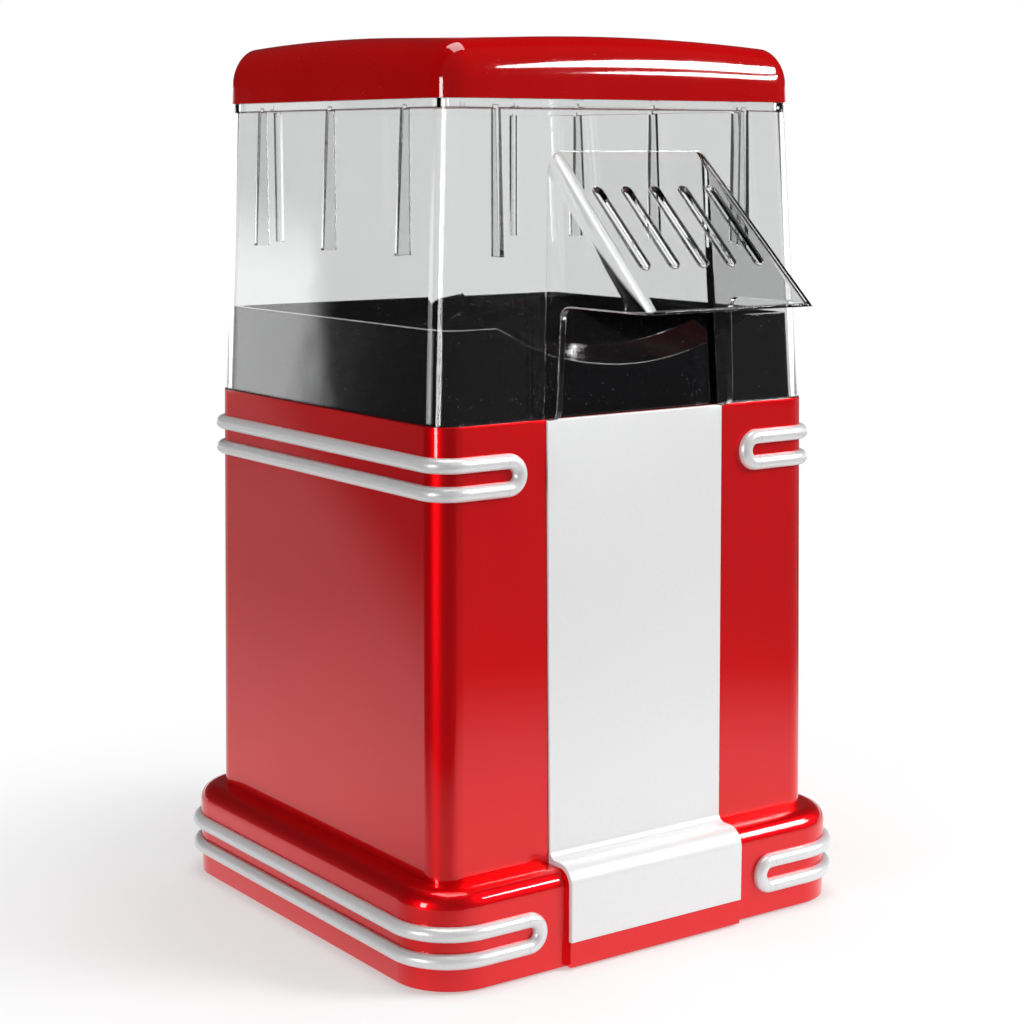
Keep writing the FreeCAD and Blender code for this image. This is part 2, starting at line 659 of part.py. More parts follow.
ledgeHole = tapered("LedgeHole", [
    (f"bodyTopWidth - {ledgeInset}", f"bodyTopDepth - {ledgeInset}", "bodyCornerRadius", f"{ledgeBottom} - 1"),
    (f"bodyTopWidth - {ledgeInset}", f"bodyTopDepth - {ledgeInset}", "bodyCornerRadius", f"{ledgeTop} + 1"),
])
trayBossX = f"({hoodFootWidth} / 2 - hoodWall - trayClearance - trayBossInset)"
trayBossY = f"({hoodFootDepth} / 2 - hoodWall - trayClearance - trayBossInset)"
ledgePads = [cylinder(f"LedgePad{i}", "2 * bossRadius", (ledgeBottom, ledgeTop), x, y)
             for i, (x, y) in enumerate(corners(trayBossX, trayBossY))]
ledgeHoles = [cylinder(f"LedgeScrewHole{i}", holeRadius, (f"{ledgeBottom} - 1", f"{ledgeTop} + 1"), x, y)
              for i, (x, y) in enumerate(corners(trayBossX, trayBossY))]
bodyBosses = [cylinder(f"BodyBoss{i}", "bossRadius", ("plinthHeight", "plinthHeight + 2 * screwBite"), x, y)
              for i, (x, y) in enumerate(corners(bodyBossX, bodyBossY))]
bodyPilots = [cylinder(f"BodyPilot{i}", pilotRadius, ("plinthHeight - 1", "plinthHeight + screwBite + 1"), x, y)
              for i, (x, y) in enumerate(corners(bodyBossX, bodyBossY))]
bodyFront = body_half_depth(bodyTop)
bodyFrontFoot = body_half_depth("plinthHeight")
recessDepth = "(panelThickness - panelProud)"
panelRecess = upright_outline("PanelRecess", [
    (f"-{bodyFront} + {recessDepth}", bodyTop),
    (f"-{bodyFront} - bodyWall", bodyTop),
    (f"-{bodyFrontFoot} - bodyWall", "plinthHeight"),
    (f"-{bodyFrontFoot} + {recessDepth}", "plinthHeight"),
], "panelWidth + 2 * fitGap")
shellWall = cut("BodyWall", bodyOuter, bodyInner)
ledge = cut("BodyLedge", ledgePlate, ledgeHole)
shellSolid = fuse("BodySolid", shellWall, ledge, *ledgePads, *bodyBosses)
node(cut("BodyShell", shellSolid, panelRecess, *ledgeHoles, *bodyPilots), "body_shell")

# Front panel: one strip down the body, over the ledge and down the plinth's block

panel = new_body("front_panel")
panelFront = f"({blockFront} - panelProud)"
panelShelf = "(plinthHeight + panelThickness)"
panelSide = polygon(panel, "PanelSide", "YZ_Plane", [
    (f"-{bodyFront} + {recessDepth}", bodyTop),
    (f"-{bodyFront} - panelProud", bodyTop),
    (f"-{body_half_depth(panelShelf)} - panelProud", panelShelf),
    (panelFront, panelShelf),
    (panelFront, "panelBottom"),
    (panelBack, "panelBottom"),
    (panelBack, "plinthHeight"),
    (f"-{bodyFrontFoot} + {recessDepth}", "plinthHeight"),
])
strip = pad(panel, panelSide, "panelWidth", SideType="Symmetric")
bend = body_fillet(panel, strip, "panelBendRadius",
                   lambda b: flat_at(b, "Z", panelShelf) and flat_at(b, "Y", panelFront))
bendInside = body_fillet(panel, bend, "panelBendRadius - panelThickness",
                         lambda b: flat_at(b, "Z", "plinthHeight") and flat_at(b, "Y", panelBack))
body_fillet(panel, bendInside, "panelCoveRadius",
            lambda b: flat_at(b, "Z", panelShelf) and near(b.YMin, f"-{body_half_depth(panelShelf)} - panelProud"))

# Trims: a rod bent into a long loop round each side, its back cut away where it lies on the surface


def loop_path(name, side, halfWidth, halfDepth, corner, height):
    w = number(f"{halfWidth} + trimStandoff")
    d = number(f"{halfDepth} + trimStandoff")
    r = number(f"{corner} + trimStandoff")
    bend = number("trimPitch / 2")
    end = number("trimEnd + trimDiameter / 2")
    middle = number(height)
    diagonal = r * (1 - math.sqrt(0.5))

    def spot(x, y, z):
        return FreeCAD.Vector(side * x, y, middle + z)

    def run(z):
        return [
            Part.LineSegment(spot(end + bend, -d, z), spot(w - r, -d, z)),
            Part.Arc(spot(w - r, -d, z), spot(w - diagonal, diagonal - d, z), spot(w, r - d, z)),
            Part.LineSegment(spot(w, r - d, z), spot(w, d - r, z)),
            Part.Arc(spot(w, d - r, z), spot(w - diagonal, d - diagonal, z), spot(w - r, d, z)),
            Part.LineSegment(spot(w - r, d, z), spot(end + bend, d, z)),
        ]

    def turn(y):
        return Part.Arc(spot(end + bend, y, -bend), spot(end, y, 0), spot(end + bend, y, bend))

    path = doc.addObject("Part::Feature", name)
    pieces = run(-bend) + [turn(d)] + run(bend) + [turn(-d)]
    path.Shape = Part.Wire(Part.__sortEdges__([piece.toShape() for piece in pieces]))
    return path


def swept(name, path, radius, start, direction):
    # Round rod along a path; the section stands at the path's start
    section = doc.addObject("Part::Circle", name + "Section")
    bind(section, "Radius", radius)
    section.Placement = FreeCAD.Placement(start, FreeCAD.Rotation(FreeCAD.Vector(0, 0, 1), direction))
    item = doc.addObject("Part::Sweep", name)
    item.Sections = [section]
    item.Spine = (path, [f"Edge{i}" for i in range(1, len(path.Shape.Edges) + 1)])
    item.Solid = True
    return item


def path_start(path):
    edge = path.Shape.OrderedEdges[0]
    first = edge.FirstParameter if edge.Orientation == "Forward" else edge.LastParameter
    return edge.valueAt(first), edge.tangentAt(first)


def trim(label, side, surface, halfWidth, halfDepth, corner, height):
    path = loop_path(label + "_path", side, halfWidth, halfDepth, corner, height)
    rod = swept(label + "_rod", path, "trimDiameter / 2", *path_start(path))
    node(cut(label + "_seated", rod, surface), label)


upperHeight = f"({bodyTop} - upperTrimDrop)"
upperLean = "bodyDraft * upperTrimDrop / bodyHeight"
plinthOuter = extruded("PlinthOuter", rounded(doc, "PlinthOuterOutline", plinthWidth, plinthDepth,
                                              "plinthCornerRadius"), "plinthHeight")
for side, hand in ((-1, "left"), (1, "right")):
    trim(f"upper_trim_{hand}", side, bodyOuter, f"bodyTopWidth / 2 + {upperLean}",
         f"bodyTopDepth / 2 + {upperLean}", "bodyCornerRadius", upperHeight)
    trim(f"lower_trim_{hand}", side, plinthOuter, f"{plinthWidth} / 2", f"{plinthDepth} / 2",
         "plinthCornerRadius", "lowerTrimHeight")

# Tray: walls inside the hood, a funnel down to the chamber and a scooped lip at the front

trayInset = "hoodWall + trayClearance"


def tray_section(height, inset):
    width, depth, radius, level, middle = hood_section(height, f"{trayInset} + {inset}")
    return width, depth, "hoodCornerRadius - hoodWall", level, middle


def tray_foot(height, inset):
    # Below the body's top edge the tray's walls are upright
    width, depth, radius, level, middle = tray_section(bodyTop, inset)
    return width, depth, radius, height, middle


trayOuter = tapered("TrayOuter", [tray_foot(ledgeTop, "0"), tray_section(bodyTop, "0"), tray_section(trayTop, "0")])
trayInner = tapered("TrayInner", [tray_foot(f"{ledgeTop} - 1", "trayWall"), tray_section(bodyTop, "trayWall"),
                                  tray_section(f"{trayTop} + 1", "trayWall")])
trayWalls = cut("TrayWalls", trayOuter, trayInner)
chamberRim = "(chamberRadius + chamberFlange)"
holeEdge = "(chamberRadius + holeMargin)"
seatEdge = f"({chamberRim} + seatMargin)"
funnelReach = f"(0.65 * {hoodFootWidth})"
funnelRise = "tan(funnelAngle)"
funnelTool = doc.addObject("PartDesign::Body", "FunnelTool")
turned(funnelTool, [
    (holeEdge, traySeat),
    (seatEdge, traySeat),
    (funnelReach, f"{traySeat} + ({funnelReach} - {seatEdge}) * {funnelRise}"),
    (funnelReach, f"{traySeat} + funnelThickness + ({funnelReach} - {holeEdge}) * {funnelRise}"),
    (holeEdge, f"{traySeat} + funnelThickness"),
])
trayFunnel = common("TrayFunnel", trayOuter, funnelTool)
trayFront = hood_front(trayTop, trayInset)
lipBlock = common("TrayLip", trayOuter, box("LipBlock", ("-lipWidth / 2", "lipWidth / 2"),
                  (f"-{trayFront} - 5", f"-{trayFront} + lipDepth"), (f"{traySeat} + funnelThickness", trayTop)))
lipRun = "20"
scoop = doc.addObject("Part::Cylinder", "LipScoop")
scoop.Placement = FreeCAD.Placement(FreeCAD.Vector(), FreeCAD.Rotation(FreeCAD.Vector(-1, 0, 0), 60))
bind(scoop, "Placement.Rotation.Angle", "90 - lipAngle")
bind(scoop, "Radius", "lipRadius")
bind(scoop, "Height", f"2 * {lipRun} + lipDepth")
place(scoop, y=f"-{trayFront} - {lipRun} * cos(lipAngle) - lipRadius * sin(lipAngle)",
      z=f"{trayTop} - lipDip - {lipRun} * sin(lipAngle) + lipRadius * cos(lipAngle)")
trayBosses = [common(f"TrayBoss{i}", trayOuter, cylinder(f"TrayBossRod{i}", "bossRadius",
              (ledgeTop, f"{trayTop} - 5"), x, y)) for i, (x, y) in enumerate(corners(trayBossX, trayBossY))]
trayPilots = [cylinder(f"TrayPilot{i}", pilotRadius, (f"{ledgeTop} - 1", f"{ledgeTop} + screwBite + 1"), x, y)
              for i, (x, y) in enumerate(corners(trayBossX, trayBossY))]
chamberScrewAt = f"(({chamberRim} + bossRadius) * sqrt(0.5))"
seatBosses = [cylinder(f"SeatBoss{i}", "bossRadius - 0.5", (shroudTop, f"{traySeat} + 2"), x, y)
              for i, (x, y) in enumerate(corners(chamberScrewAt, chamberScrewAt))]
seatPilots = [cylinder(f"SeatPilot{i}", pilotRadius, (f"{shroudTop} - 1", f"{shroudTop} + 0.6 * screwBite + 0.5"), x, y)
              for i, (x, y) in enumerate(corners(chamberScrewAt, chamberScrewAt))]
traySolid = fuse("TraySolid", trayWalls, trayFunnel, lipBlock, *trayBosses, *seatBosses)
node(cut("ChamberTray", traySolid, scoop, *trayPilots, *seatPilots), "chamber_tray")

# Hood with shoulder, neck, inner ribs and spout

hoodOuter = tapered("HoodOuter", [hood_section(bodyTop, "0"), hood_section(hoodTop, "0")])
shoulderBottom = f"({hoodTop} - shoulderThickness)"
hoodInner = tapered("HoodInner", [hood_section(f"{bodyTop} - 1", "hoodWall"), hood_section(shoulderBottom, "hoodWall")])


def neck_section(height, inset):
    width, depth, radius, level, middle = hood_section(hoodTop, f"neckStep + {inset}")
    return width, depth, radius, height, middle


neckOuter = tapered("NeckOuter", [neck_section(shoulderBottom, "0"), neck_section(f"{hoodTop} + neckHeight", "0")])
neckInner = tapered("NeckInner", [neck_section(f"{shoulderBottom} - 1", "neckWall"),
                                  neck_section(f"{hoodTop} + neckHeight + 1", "neckWall")])
spoutTop = f"({bodyTop} + spoutTopHeight)"
spoutTip = f"({bodyTop} + spoutTipHeight)"
tipY = f"({hoodFront} + spoutReach)"
slopeTopY = f"({hoodFront} - spoutTopInset)"
slopeRun = "(spoutReach + spoutTopInset)"
slopeFall = "(spoutTopHeight - spoutTipHeight)"
slopeRate = f"({slopeFall} / {slopeRun})"
slopeLength = f"sqrt({slopeRun} ^ 2 + {slopeFall} ^ 2)"
spoutRoot = f"({hoodFront} - 14)"
cheekFront = f"({hoodFront} + spoutFlange)"
cheekUnder = f"({spoutTip} - spoutTipThickness)"


def cheek_slab(name, inset):
    # Slab between the cheeks' faces, narrower towards the top
    item = doc.addObject("Part::Wedge", name)
    item.Placement = FreeCAD.Placement(FreeCAD.Vector(), FreeCAD.Rotation(FreeCAD.Vector(1, 0, 0), 90))
    half = f"(spoutBottomWidth / 2 - {inset})"
    halfTop = f"(spoutTopWidth / 2 - {inset})"
    margin = 20
    step = f"{margin} * ({half} - {halfTop}) / spoutTopHeight"
    for prop, text in (("Ymin", f"{bodyTop} - {margin}"), ("Ymax", f"{spoutTop} + {margin}"),
                       ("Zmin", "0"), ("Zmax", f"2 * {tipY}"), ("Z2min", "0"), ("Z2max", f"2 * {tipY}"),
                       ("Xmin", f"-({half} + {step})"), ("Xmax", f"{half} + {step}"),
                       ("X2min", f"-({halfTop} - {step})"), ("X2max", f"{halfTop} - {step}")):
        bind(item, prop, text)
    return item


def spout_form(name, inset, edge):
    # Prism under the slope and between the cheeks, its surface moved in by an inset, its long edges rounded
    margin = 20
    ends = [f"({tipY} + {margin})", spoutRoot]
    roof = [(f"-{y}", f"{spoutTip} + ({tipY} - {y}) * {slopeRate} - {inset} * {slopeLength} / {slopeRun}") for y in ends]
    floor = [(f"-{y}", f"{bodyTop} - {margin}") for y in reversed(ends)]
    side = upright_outline(name + "Side", roof + floor, "2 * spoutBottomWidth")
    wedge = common(name + "Wedge", side, cheek_slab(name + "Slab", inset))
    return round_edges(name, wedge, edge, lambda b: min(b.YLength, b.ZLength) > number("spoutReach"))


spoutSide = upright_outline("SpoutSide", [
    (f"-{spoutRoot}", bodyTop),
    (f"-{cheekFront}", bodyTop),
    (f"-{cheekFront}", cheekUnder),
    (f"-{tipY}", cheekUnder),
    (f"-{tipY}", hoodTop),
    (f"-{spoutRoot}", hoodTop),
], "2 * spoutBottomWidth")
spoutCorners = round_edges("SpoutCorners", spoutSide, "spoutCornerRadius",
                           lambda b: flat_at(b, "Y", f"-{cheekFront}") and b.ZLength < 0.1)
spoutOuter = common("SpoutOuter", spoutCorners, spout_form("SpoutForm", "0", "spoutEdgeRadius"))
spoutInner = spout_form("SpoutInner", "spoutWall", "spoutEdgeRadius - spoutWall")
slots = new_sketch(doc, "SteamSlots")
slots.Placement = FreeCAD.Placement(FreeCAD.Vector(), FreeCAD.Rotation(FreeCAD.Vector(1, 0, 0), 41))
bind(slots, "Placement.Rotation.Angle", f"atan({slopeRate})")
slotMiddle = "(slotFromTop + slotLength / 2)"
place(slots, y=f"-{slopeTopY} - {slotMiddle} * {slopeRun} / {slopeLength}",
      z=f"{spoutTop} - {slotMiddle} * {slopeFall} / {slopeLength}")
for i in range(-2, 3):
    add_rounded(slots, f"slot{i + 2}", "slotWidth", "slotLength", "slotWidth * 0.49", f"{i} * slotPitch")
slotTool = extruded("SteamSlotTool", slots, "8 * spoutWall")
slotTool.Symmetric = True

ribBottom = f"({shoulderBottom} - ribLength)"
ribUpright = (ribBottom, f"{shoulderBottom} + 1")
ribSide = hood_side(shoulderBottom, "hoodWall + ribDepth")
ribFront = hood_front(shoulderBottom, "hoodWall + ribDepth")
ribBack = hood_back("hoodWall + ribDepth")
ribReach = "2 * hoodWall + 2 * ribDepth"
ribs = []
for i in range(-1, 2):
    along = f"(sideRibOffset + {i} * sideRibPitch)"
    thick = (f"{along} - ribThickness / 2", f"{along} + ribThickness / 2")
    ribs.append(box(f"LeftRib{i + 1}", (f"-{ribSide} - ({ribReach})", f"-{ribSide}"), thick, ribUpright))
    ribs.append(box(f"RightRib{i + 1}", (ribSide, f"{ribSide} + {ribReach}"), thick, ribUpright))
for i, hand in enumerate(("-", "")):
    thick = (f"{hand}endRibOffset - ribThickness / 2", f"{hand}endRibOffset + ribThickness / 2")
    ribs.append(box(f"FrontRib{i}", thick, (f"-{ribFront} - ({ribReach})", f"-{ribFront}"), ribUpright))
    ribs.append(box(f"BackRib{i}", thick, (ribBack, f"{ribBack} + {ribReach}"), ribUpright))
# The ribs' roots end in the middle of the leaning walls
ribLimit = tapered("RibLimit", [hood_section(height, "hoodWall / 2") for height in (bodyTop, hoodTop)])
hoodRibs = common("HoodRibs", ribLimit, fuse("RibBars", *ribs))
hoodSolid = fuse("HoodSolid", hoodOuter, spoutOuter, neckOuter)
hoodShell = cut("HoodShell", hoodSolid, hoodInner, neckInner, spoutInner, slotTool)
node(fuse("Hood", hoodShell, hoodRibs), "clear_hood")

# Lid: a crowned cap over the hood's neck


def lid_shape(name, inset, edge):
    width, depth, radius, rim, middle = hood_section(hoodTop, f"{inset} - lidOverhang")
    corner = f"lidCornerRadius - {inset}"
    sides = tapered(name + "Sides", [
        (width, depth, corner, rim, middle),
        (f"{width} - 2 * lidDraft", f"{depth} - 2 * lidDraft", corner, lidTop, middle),
    ])
    ball = doc.addObject("Part::Sphere", name + "Crown")
    bind(ball, "Radius", f"lidCrownRadius - {inset}")
    place(ball, y=middle, z=f"{lidTop} - lidCrownRadius")
    crowned = common(name + "Crowned", sides, ball)
    return round_edges(name, crowned, edge, lambda b: b.ZMin > number(f"{hoodTop} + lidHeight / 2"))


lidOuter = lid_shape("LidOuter", "0", "lidEdgeRadius")
lidInner = lid_shape("LidInner", "lidWall", "lidEdgeRadius - lidWall")
node(cut("Lid", lidOuter, lidInner), "hood_lid")

# Popping chamber with leaning air slots, and its seal

chamber = new_body("popping_chamber")
chamberOuter = "(chamberRadius + chamberWall)"
cornerStep = "0.414 * chamberWall"
turned(chamber, [
    ("0", chamberBottom),
    (f"{chamberOuter} - chamberCorner", chamberBottom),
    (chamberOuter, f"{chamberBottom} + chamberCorner"),
    (chamberOuter, shroudTop),
    (chamberRim, shroudTop),
    (chamberRim, chamberTop),
    ("chamberRadius", chamberTop),
    ("chamberRadius", f"{chamberBottom} + chamberCorner + {cornerStep}"),
    (f"{chamberOuter} - chamberCorner - {cornerStep}", f"{chamberBottom} + chamberWall"),
    ("0", f"{chamberBottom} + chamberWall"),
])
slotFoot = f"{chamberBottom} + chamberCorner + 2"
leaningSlot = polygon(chamber, "ChamberSlot", "XZ_Plane", [
    ("-chamberSlotLean - chamberSlotWidth / 2", slotFoot),
    ("-chamberSlotLean + chamberSlotWidth / 2", slotFoot),
    ("chamberSlotLean + chamberSlotWidth / 2", f"{slotFoot} + chamberSlotHeight"),
    ("chamberSlotLean - chamberSlotWidth / 2", f"{slotFoot} + chamberSlotHeight"),
])
ring_of(chamber, pocket(chamber, leaningSlot, "2 * chamberRadius"), "chamberSlots")
node(tube("ChamberGasket", chamberRim, holeEdge, (chamberTop, traySeat)), "chamber_gasket")

# Heater: shroud, mica cross and coil, with the two cut-outs on the shroud's lower flange

shroudInner = "(ductRadius + boardLedge)"
shroudOuter = f"({shroudInner} + shroudWall)"
shroudEdge = f"({shroudOuter} + shroudFlange)"
shroud = new_body("heater_shroud")
turned(shroud, [
    (shroudInner, ductTop),
    (shroudEdge, ductTop),
    (shroudEdge, f"{ductTop} + shroudWall"),
    (shroudOuter, f"{ductTop} + shroudWall"),
    (shroudOuter, f"{shroudTop} - shroudWall"),
    (shroudEdge, f"{shroudTop} - shroudWall"),
    (shroudEdge, shroudTop),
    (shroudInner, shroudTop),
])
ductScrewAt = f"(({shroudOuter} + shroudFlange * 0.6) * sqrt(0.5))"
pocket(shroud, circles(shroud, "ShroudTopHoles", corners(chamberScrewAt, chamberScrewAt), holeRadius, shroudTop),
       "2 * shroudWall")
pocket(shroud, circles(shroud, "ShroudFootHoles", corners(ductScrewAt, ductScrewAt), holeRadius, ductTop),
       "2 * shroudWall", Reversed=True)

boardReach = f"({shroudInner} - 2 * fitGap)"
halfBoard = "boardThickness / 2"
boardUpright = (ductTop, boardTop)
node(fuse("HeaterBoard",
          box("BoardAcross", (f"-{boardReach}", boardReach), (f"-{halfBoard}", halfBoard), boardUpright),
          box("BoardAlong", (f"-{halfBoard}", halfBoard), (f"-{boardReach}", boardReach), boardUpright)),
     "heater_board")

coilPath = doc.addObject("Part::Feature", "CoilPath")
coilTurns = []
reach = number("coilInnerRadius")
step = number("coilPitch / 2")
level = number(coilMiddle)
for i in range(7):
    middle = step if i % 2 else 0.0
    way = -1 if i % 2 else 1
    radius = reach + step * i
    start = FreeCAD.Vector(middle + way * radius, 0, level)
    top = FreeCAD.Vector(middle, way * radius, level)
    end = FreeCAD.Vector(middle - way * radius, 0, level)
    coilTurns.append(Part.Arc(start, top, end).toShape())
coilPath.Shape = Part.Wire(coilTurns)
node(swept("HeaterCoil", coilPath, "coilDiameter / 2", *path_start(coilPath)), "heater_coil")

flangeMiddle = f"({shroudOuter} + shroudFlange / 2)"
shelf = f"({ductTop} + shroudWall)"
thermostatTop = f"({shelf} + thermostatHeight)"
tabs = [box(f"ThermostatTab{i}", about(f"{hand}thermostatRadius / 2", "tabThickness / 2"),
            about(flangeMiddle, "tabWidth / 2"), (f"{thermostatTop} - fitGap", f"{thermostatTop} + tabLength"))
        for i, hand in enumerate(("-", ""))]
thermostatCase = cylinder("ThermostatCase", "thermostatRadius", (shelf, thermostatTop), y=flangeMiddle)
node(fuse("Thermostat", thermostatCase, *tabs), "thermostat")
fuseHeight = f"({shelf} + fuseRadius + fitGap)"
fuseSpan = "(fuseLength + 2 * fuseWireLength)"
node(fuse("ThermalFuse",
          lying_cylinder("FuseCase", "fuseRadius", "fuseLength", f"-{flangeMiddle}", "0", fuseHeight, "Y"),
          lying_cylinder("FuseWire", "fuseWireRadius", fuseSpan, f"-{flangeMiddle}", "0", fuseHeight, "Y")),
     "thermal_fuse")

# Fan duct, bracket and fan

ductOuter = "(ductRadius + ductWall)"
ductEdge = f"({ductOuter} + ductFlange)"
duct = new_body("fan_duct")
turned(duct, [
    ("ductInletRadius", ductBottom),
    (ductOuter, ductBottom),
    (ductOuter, f"{ductTop} - ductFlangeThickness"),
    (ductEdge, f"{ductTop} - ductFlangeThickness"),
    (ductEdge, ductTop),
    ("ductRadius", ductTop),
    ("ductRadius", f"{ductBottom} + ductWall"),
    ("ductInletRadius", f"{ductBottom} + ductWall"),
])
bracketScrews = [("bracketScrewRadius", "0"), ("-bracketScrewRadius", "0")]
ductBossFoot = f"({ductTop} - screwBite - 2)"
pad(duct, circles(duct, "DuctStandoffs", bracketScrews, "bossRadius", bracketTop), "bracketStandoff + ductWall / 2")
pad(duct, circles(duct, "DuctBosses", corners(ductScrewAt, ductScrewAt), "bossRadius", ductBossFoot),
    f"{ductTop} - {ductBossFoot} - 1")
pocket(duct, circles(duct, "DuctPilots", corners(ductScrewAt, ductScrewAt), pilotRadius, ductTop), "screwBite + 1")
pocket(duct, circles(duct, "StandoffPilots", bracketScrews, pilotRadius, bracketTop),
       "bracketStandoff + ductWall * 0.8", Reversed=True)

motorScrews = [("motorScrewRadius", "0"), ("-motorScrewRadius", "0")]
bracket = new_body("motor_bracket")
bar = new_sketch(bracket, "BracketOutline", "XY_Plane", motorTop)
add_rounded(bar, "outline", "bracketLength", "bracketWidth", "bossRadius")
pad(bracket, bar, "bracketThickness")
pocket(bracket, circles(bracket, "BracketEndHoles", bracketScrews, holeRadius, bracketTop), "2 * bracketThickness")
pocket(bracket, circles(bracket, "BracketMotorHoles", motorScrews, holeRadius, bracketTop), "2 * bracketThickness")
pocket(bracket, circles(bracket, "BracketMiddle", [("0", "0")], "motorBossRadius + fitGap", bracketTop),
       "2 * bracketThickness")

shaftBore = "(shaftRadius + pressGap)"
fanRadius = "(ductRadius - fanTipGap)"
fan = new_body("fan_impeller")
turned(fan, [
    (shaftBore, fanBottom),
    ("fanHubRadius", fanBottom),
    ("fanHubRadius", f"{fanTop} - bladeThickness"),
    (fanRadius, f"{fanTop} - bladeThickness"),
    (fanRadius, fanTop),
    (shaftBore, fanTop),
])
blade = polygon(fan, "FanBlade", "XY_Plane", [
    (f"{fanRadius} * 0.36", "0"),
    (f"{fanRadius} * 0.93", f"-{fanRadius} * 0.3"),
    (f"{fanRadius} * 0.93", f"-{fanRadius} * 0.3 + bladeThickness"),
    (f"{fanRadius} * 0.36", "bladeThickness"),
], fanBottom)
ring_of(fan, pad(fan, blade, "fanHeight - bladeThickness / 2"), "fanBlades")
clipTop = f"({fanTop} + bladeThickness)"
node(tube("FanClip", "fanHubRadius * 0.7", shaftBore, (fanTop, clipTop)), "fan_clip")

# Motor: can, end cap, bushings, magnets, rotor and shaft, with the rectifier board below

bushingBore = "(bushingRadius + runningGap)"
canInner = "(motorRadius - motorWall)"
can = new_body("motor_can")
turned(can, [
    (bushingBore, f"{motorTop} - motorWall"),
    (canInner, f"{motorTop} - motorWall"),
    (canInner, motorBottom),
    ("motorRadius", motorBottom),
    ("motorRadius", motorTop),
    ("motorBossRadius", motorTop),
    ("motorBossRadius", f"{motorTop} + motorBossHeight"),
    (bushingBore, f"{motorTop} + motorBossHeight"),
])
pocket(can, circles(can, "CanHoles", motorScrews, pilotRadius, motorTop), "2 * motorWall")
cap = new_body("motor_end_cap")
plugTop = f"({motorBottom} + capThickness)"
turned(cap, [
    (bushingBore, capBottom),
    ("motorRadius", capBottom),
    ("motorRadius", motorBottom),
    (f"{canInner} - fitGap", motorBottom),
    (f"{canInner} - fitGap", plugTop),
    (bushingBore, plugTop),
])
group("motor_bushings", [
    tube("UpperBushing", "bushingRadius", "shaftRadius + runningGap",
         (f"{motorTop} - motorWall", f"{motorTop} + motorBossHeight")),
    tube("LowerBushing", "bushingRadius", "shaftRadius + runningGap", (capBottom, plugTop)),
])
magnetInner = f"({canInner} - fitGap - magnetThickness)"
magnetRing = tube("MagnetRing", f"{canInner} - fitGap", magnetInner,
                  (f"{motorBottom} + motorLength / 6", f"{motorTop} - motorLength / 6"))
magnetGap = box("MagnetGap", ("-2 * motorRadius", "2 * motorRadius"), ("-motorRadius / 4", "motorRadius / 4"),
                (motorBottom, motorTop))
node(cut("MotorMagnets", magnetRing, magnetGap), "motor_magnets")
rotor = new_body("motor_rotor")
rotorRadius = f"({magnetInner} - rotorGap)"
rotorFoot = f"({motorBottom} + motorLength / 5)"
rotorHead = f"({motorTop} - motorLength / 5)"
turned(rotor, [
    (shaftBore, f"{plugTop} + rotorGap"),
    ("3 * shaftRadius", f"{plugTop} + rotorGap"),
    ("3 * shaftRadius", rotorFoot),
    (rotorRadius, rotorFoot),
    (rotorRadius, rotorHead),
    (shaftBore, rotorHead),
])
node(cylinder("MotorShaft", "shaftRadius", (f"{capBottom} + rotorGap", f"{clipTop} + shaftRadius")), "motor_shaft")
circuitBottom = f"({capBottom} - circuitThickness)"
diodes = [box(f"Diode{i}", about(f"{step} * diodePitch", "diodeWidth / 2"), ("-diodeWidth", "diodeWidth"),
              (f"{circuitBottom} - diodeWidth", circuitBottom)) for i, step in enumerate((-1.5, -0.5, 0.5, 1.5))]
circuit = box("CircuitBoard", ("-0.8 * motorRadius", "0.8 * motorRadius"),
              ("-0.5 * motorRadius", "0.5 * motorRadius"), (circuitBottom, capBottom))
node(fuse("RectifierBoard", circuit, *diodes), "rectifier_board")

# Rear switch and cord gland in the plinth's back wall

caseX = "(bezelWidth / 2 - bezelLap - fitGap)"
caseZ = "(bezelHeight / 2 - bezelLap - fitGap)"
cavityX = f"({caseX} - switchWall)"
cavityZ = f"({caseZ} - switchWall)"
pivotY = f"({plinthBack} - rockerPivotDepth)"
bezel = box("SwitchBezel", about("switchOffset", "bezelWidth / 2"), (plinthBack, f"{plinthBack} + bezelThickness"),
            about("switchHeight", "bezelHeight / 2"))
case = box("SwitchCase", about("switchOffset", caseX), (f"{plinthBack} - switchDepth", plinthBack),
           about("switchHeight", caseZ))
cavity = box("SwitchCavity", about("switchOffset", cavityX), (f"{plinthBack} - 0.6 * switchDepth", f"{plinthBack} + 2 * bezelThickness"),
             about("switchHeight", cavityZ))
pivotHole = lying_cylinder("SwitchPivotHole", "rockerPinRadius + runningGap", f"2 * {caseX} - switchWall / 3",
                           "switchOffset", pivotY, "switchHeight", "X")
node(cut("SwitchHousing", fuse("SwitchSolid", bezel, case), cavity, pivotHole), "switch_housing")

rocker = new_body("switch_rocker")
rockerZ = f"({cavityZ} - rockerEndGap)"
facet = "(rockerPivotDepth + bezelThickness)"
crest = f"({facet} + {rockerZ} * tan(rockerTilt))"
rockerSide = polygon(rocker, "RockerSide", "YZ_Plane", [
    (crest, f"-{rockerZ}"),
    (facet, "0"),
    (crest, rockerZ),
    ("-rockerDepth * 0.4", rockerZ),
    ("-rockerDepth", f"{rockerZ} * 0.4"),
    ("-rockerDepth", f"-{rockerZ} * 0.4"),
    ("-rockerDepth * 0.4", f"-{rockerZ}"),
])
pad(rocker, rockerSide, f"2 * ({cavityX} - rockerSideGap)", SideType="Symmetric")
pad(rocker, circles(rocker, "RockerPins", [("0", "0")], "rockerPinRadius", "0", "YZ_Plane"),
    f"2 * {caseX} - switchWall", SideType="Symmetric")
rocker.Placement = FreeCAD.Placement(FreeCAD.Vector(), FreeCAD.Rotation(FreeCAD.Vector(-1, 0, 0), 7))
bind(rocker, "Placement.Rotation.Angle", "rockerTilt")
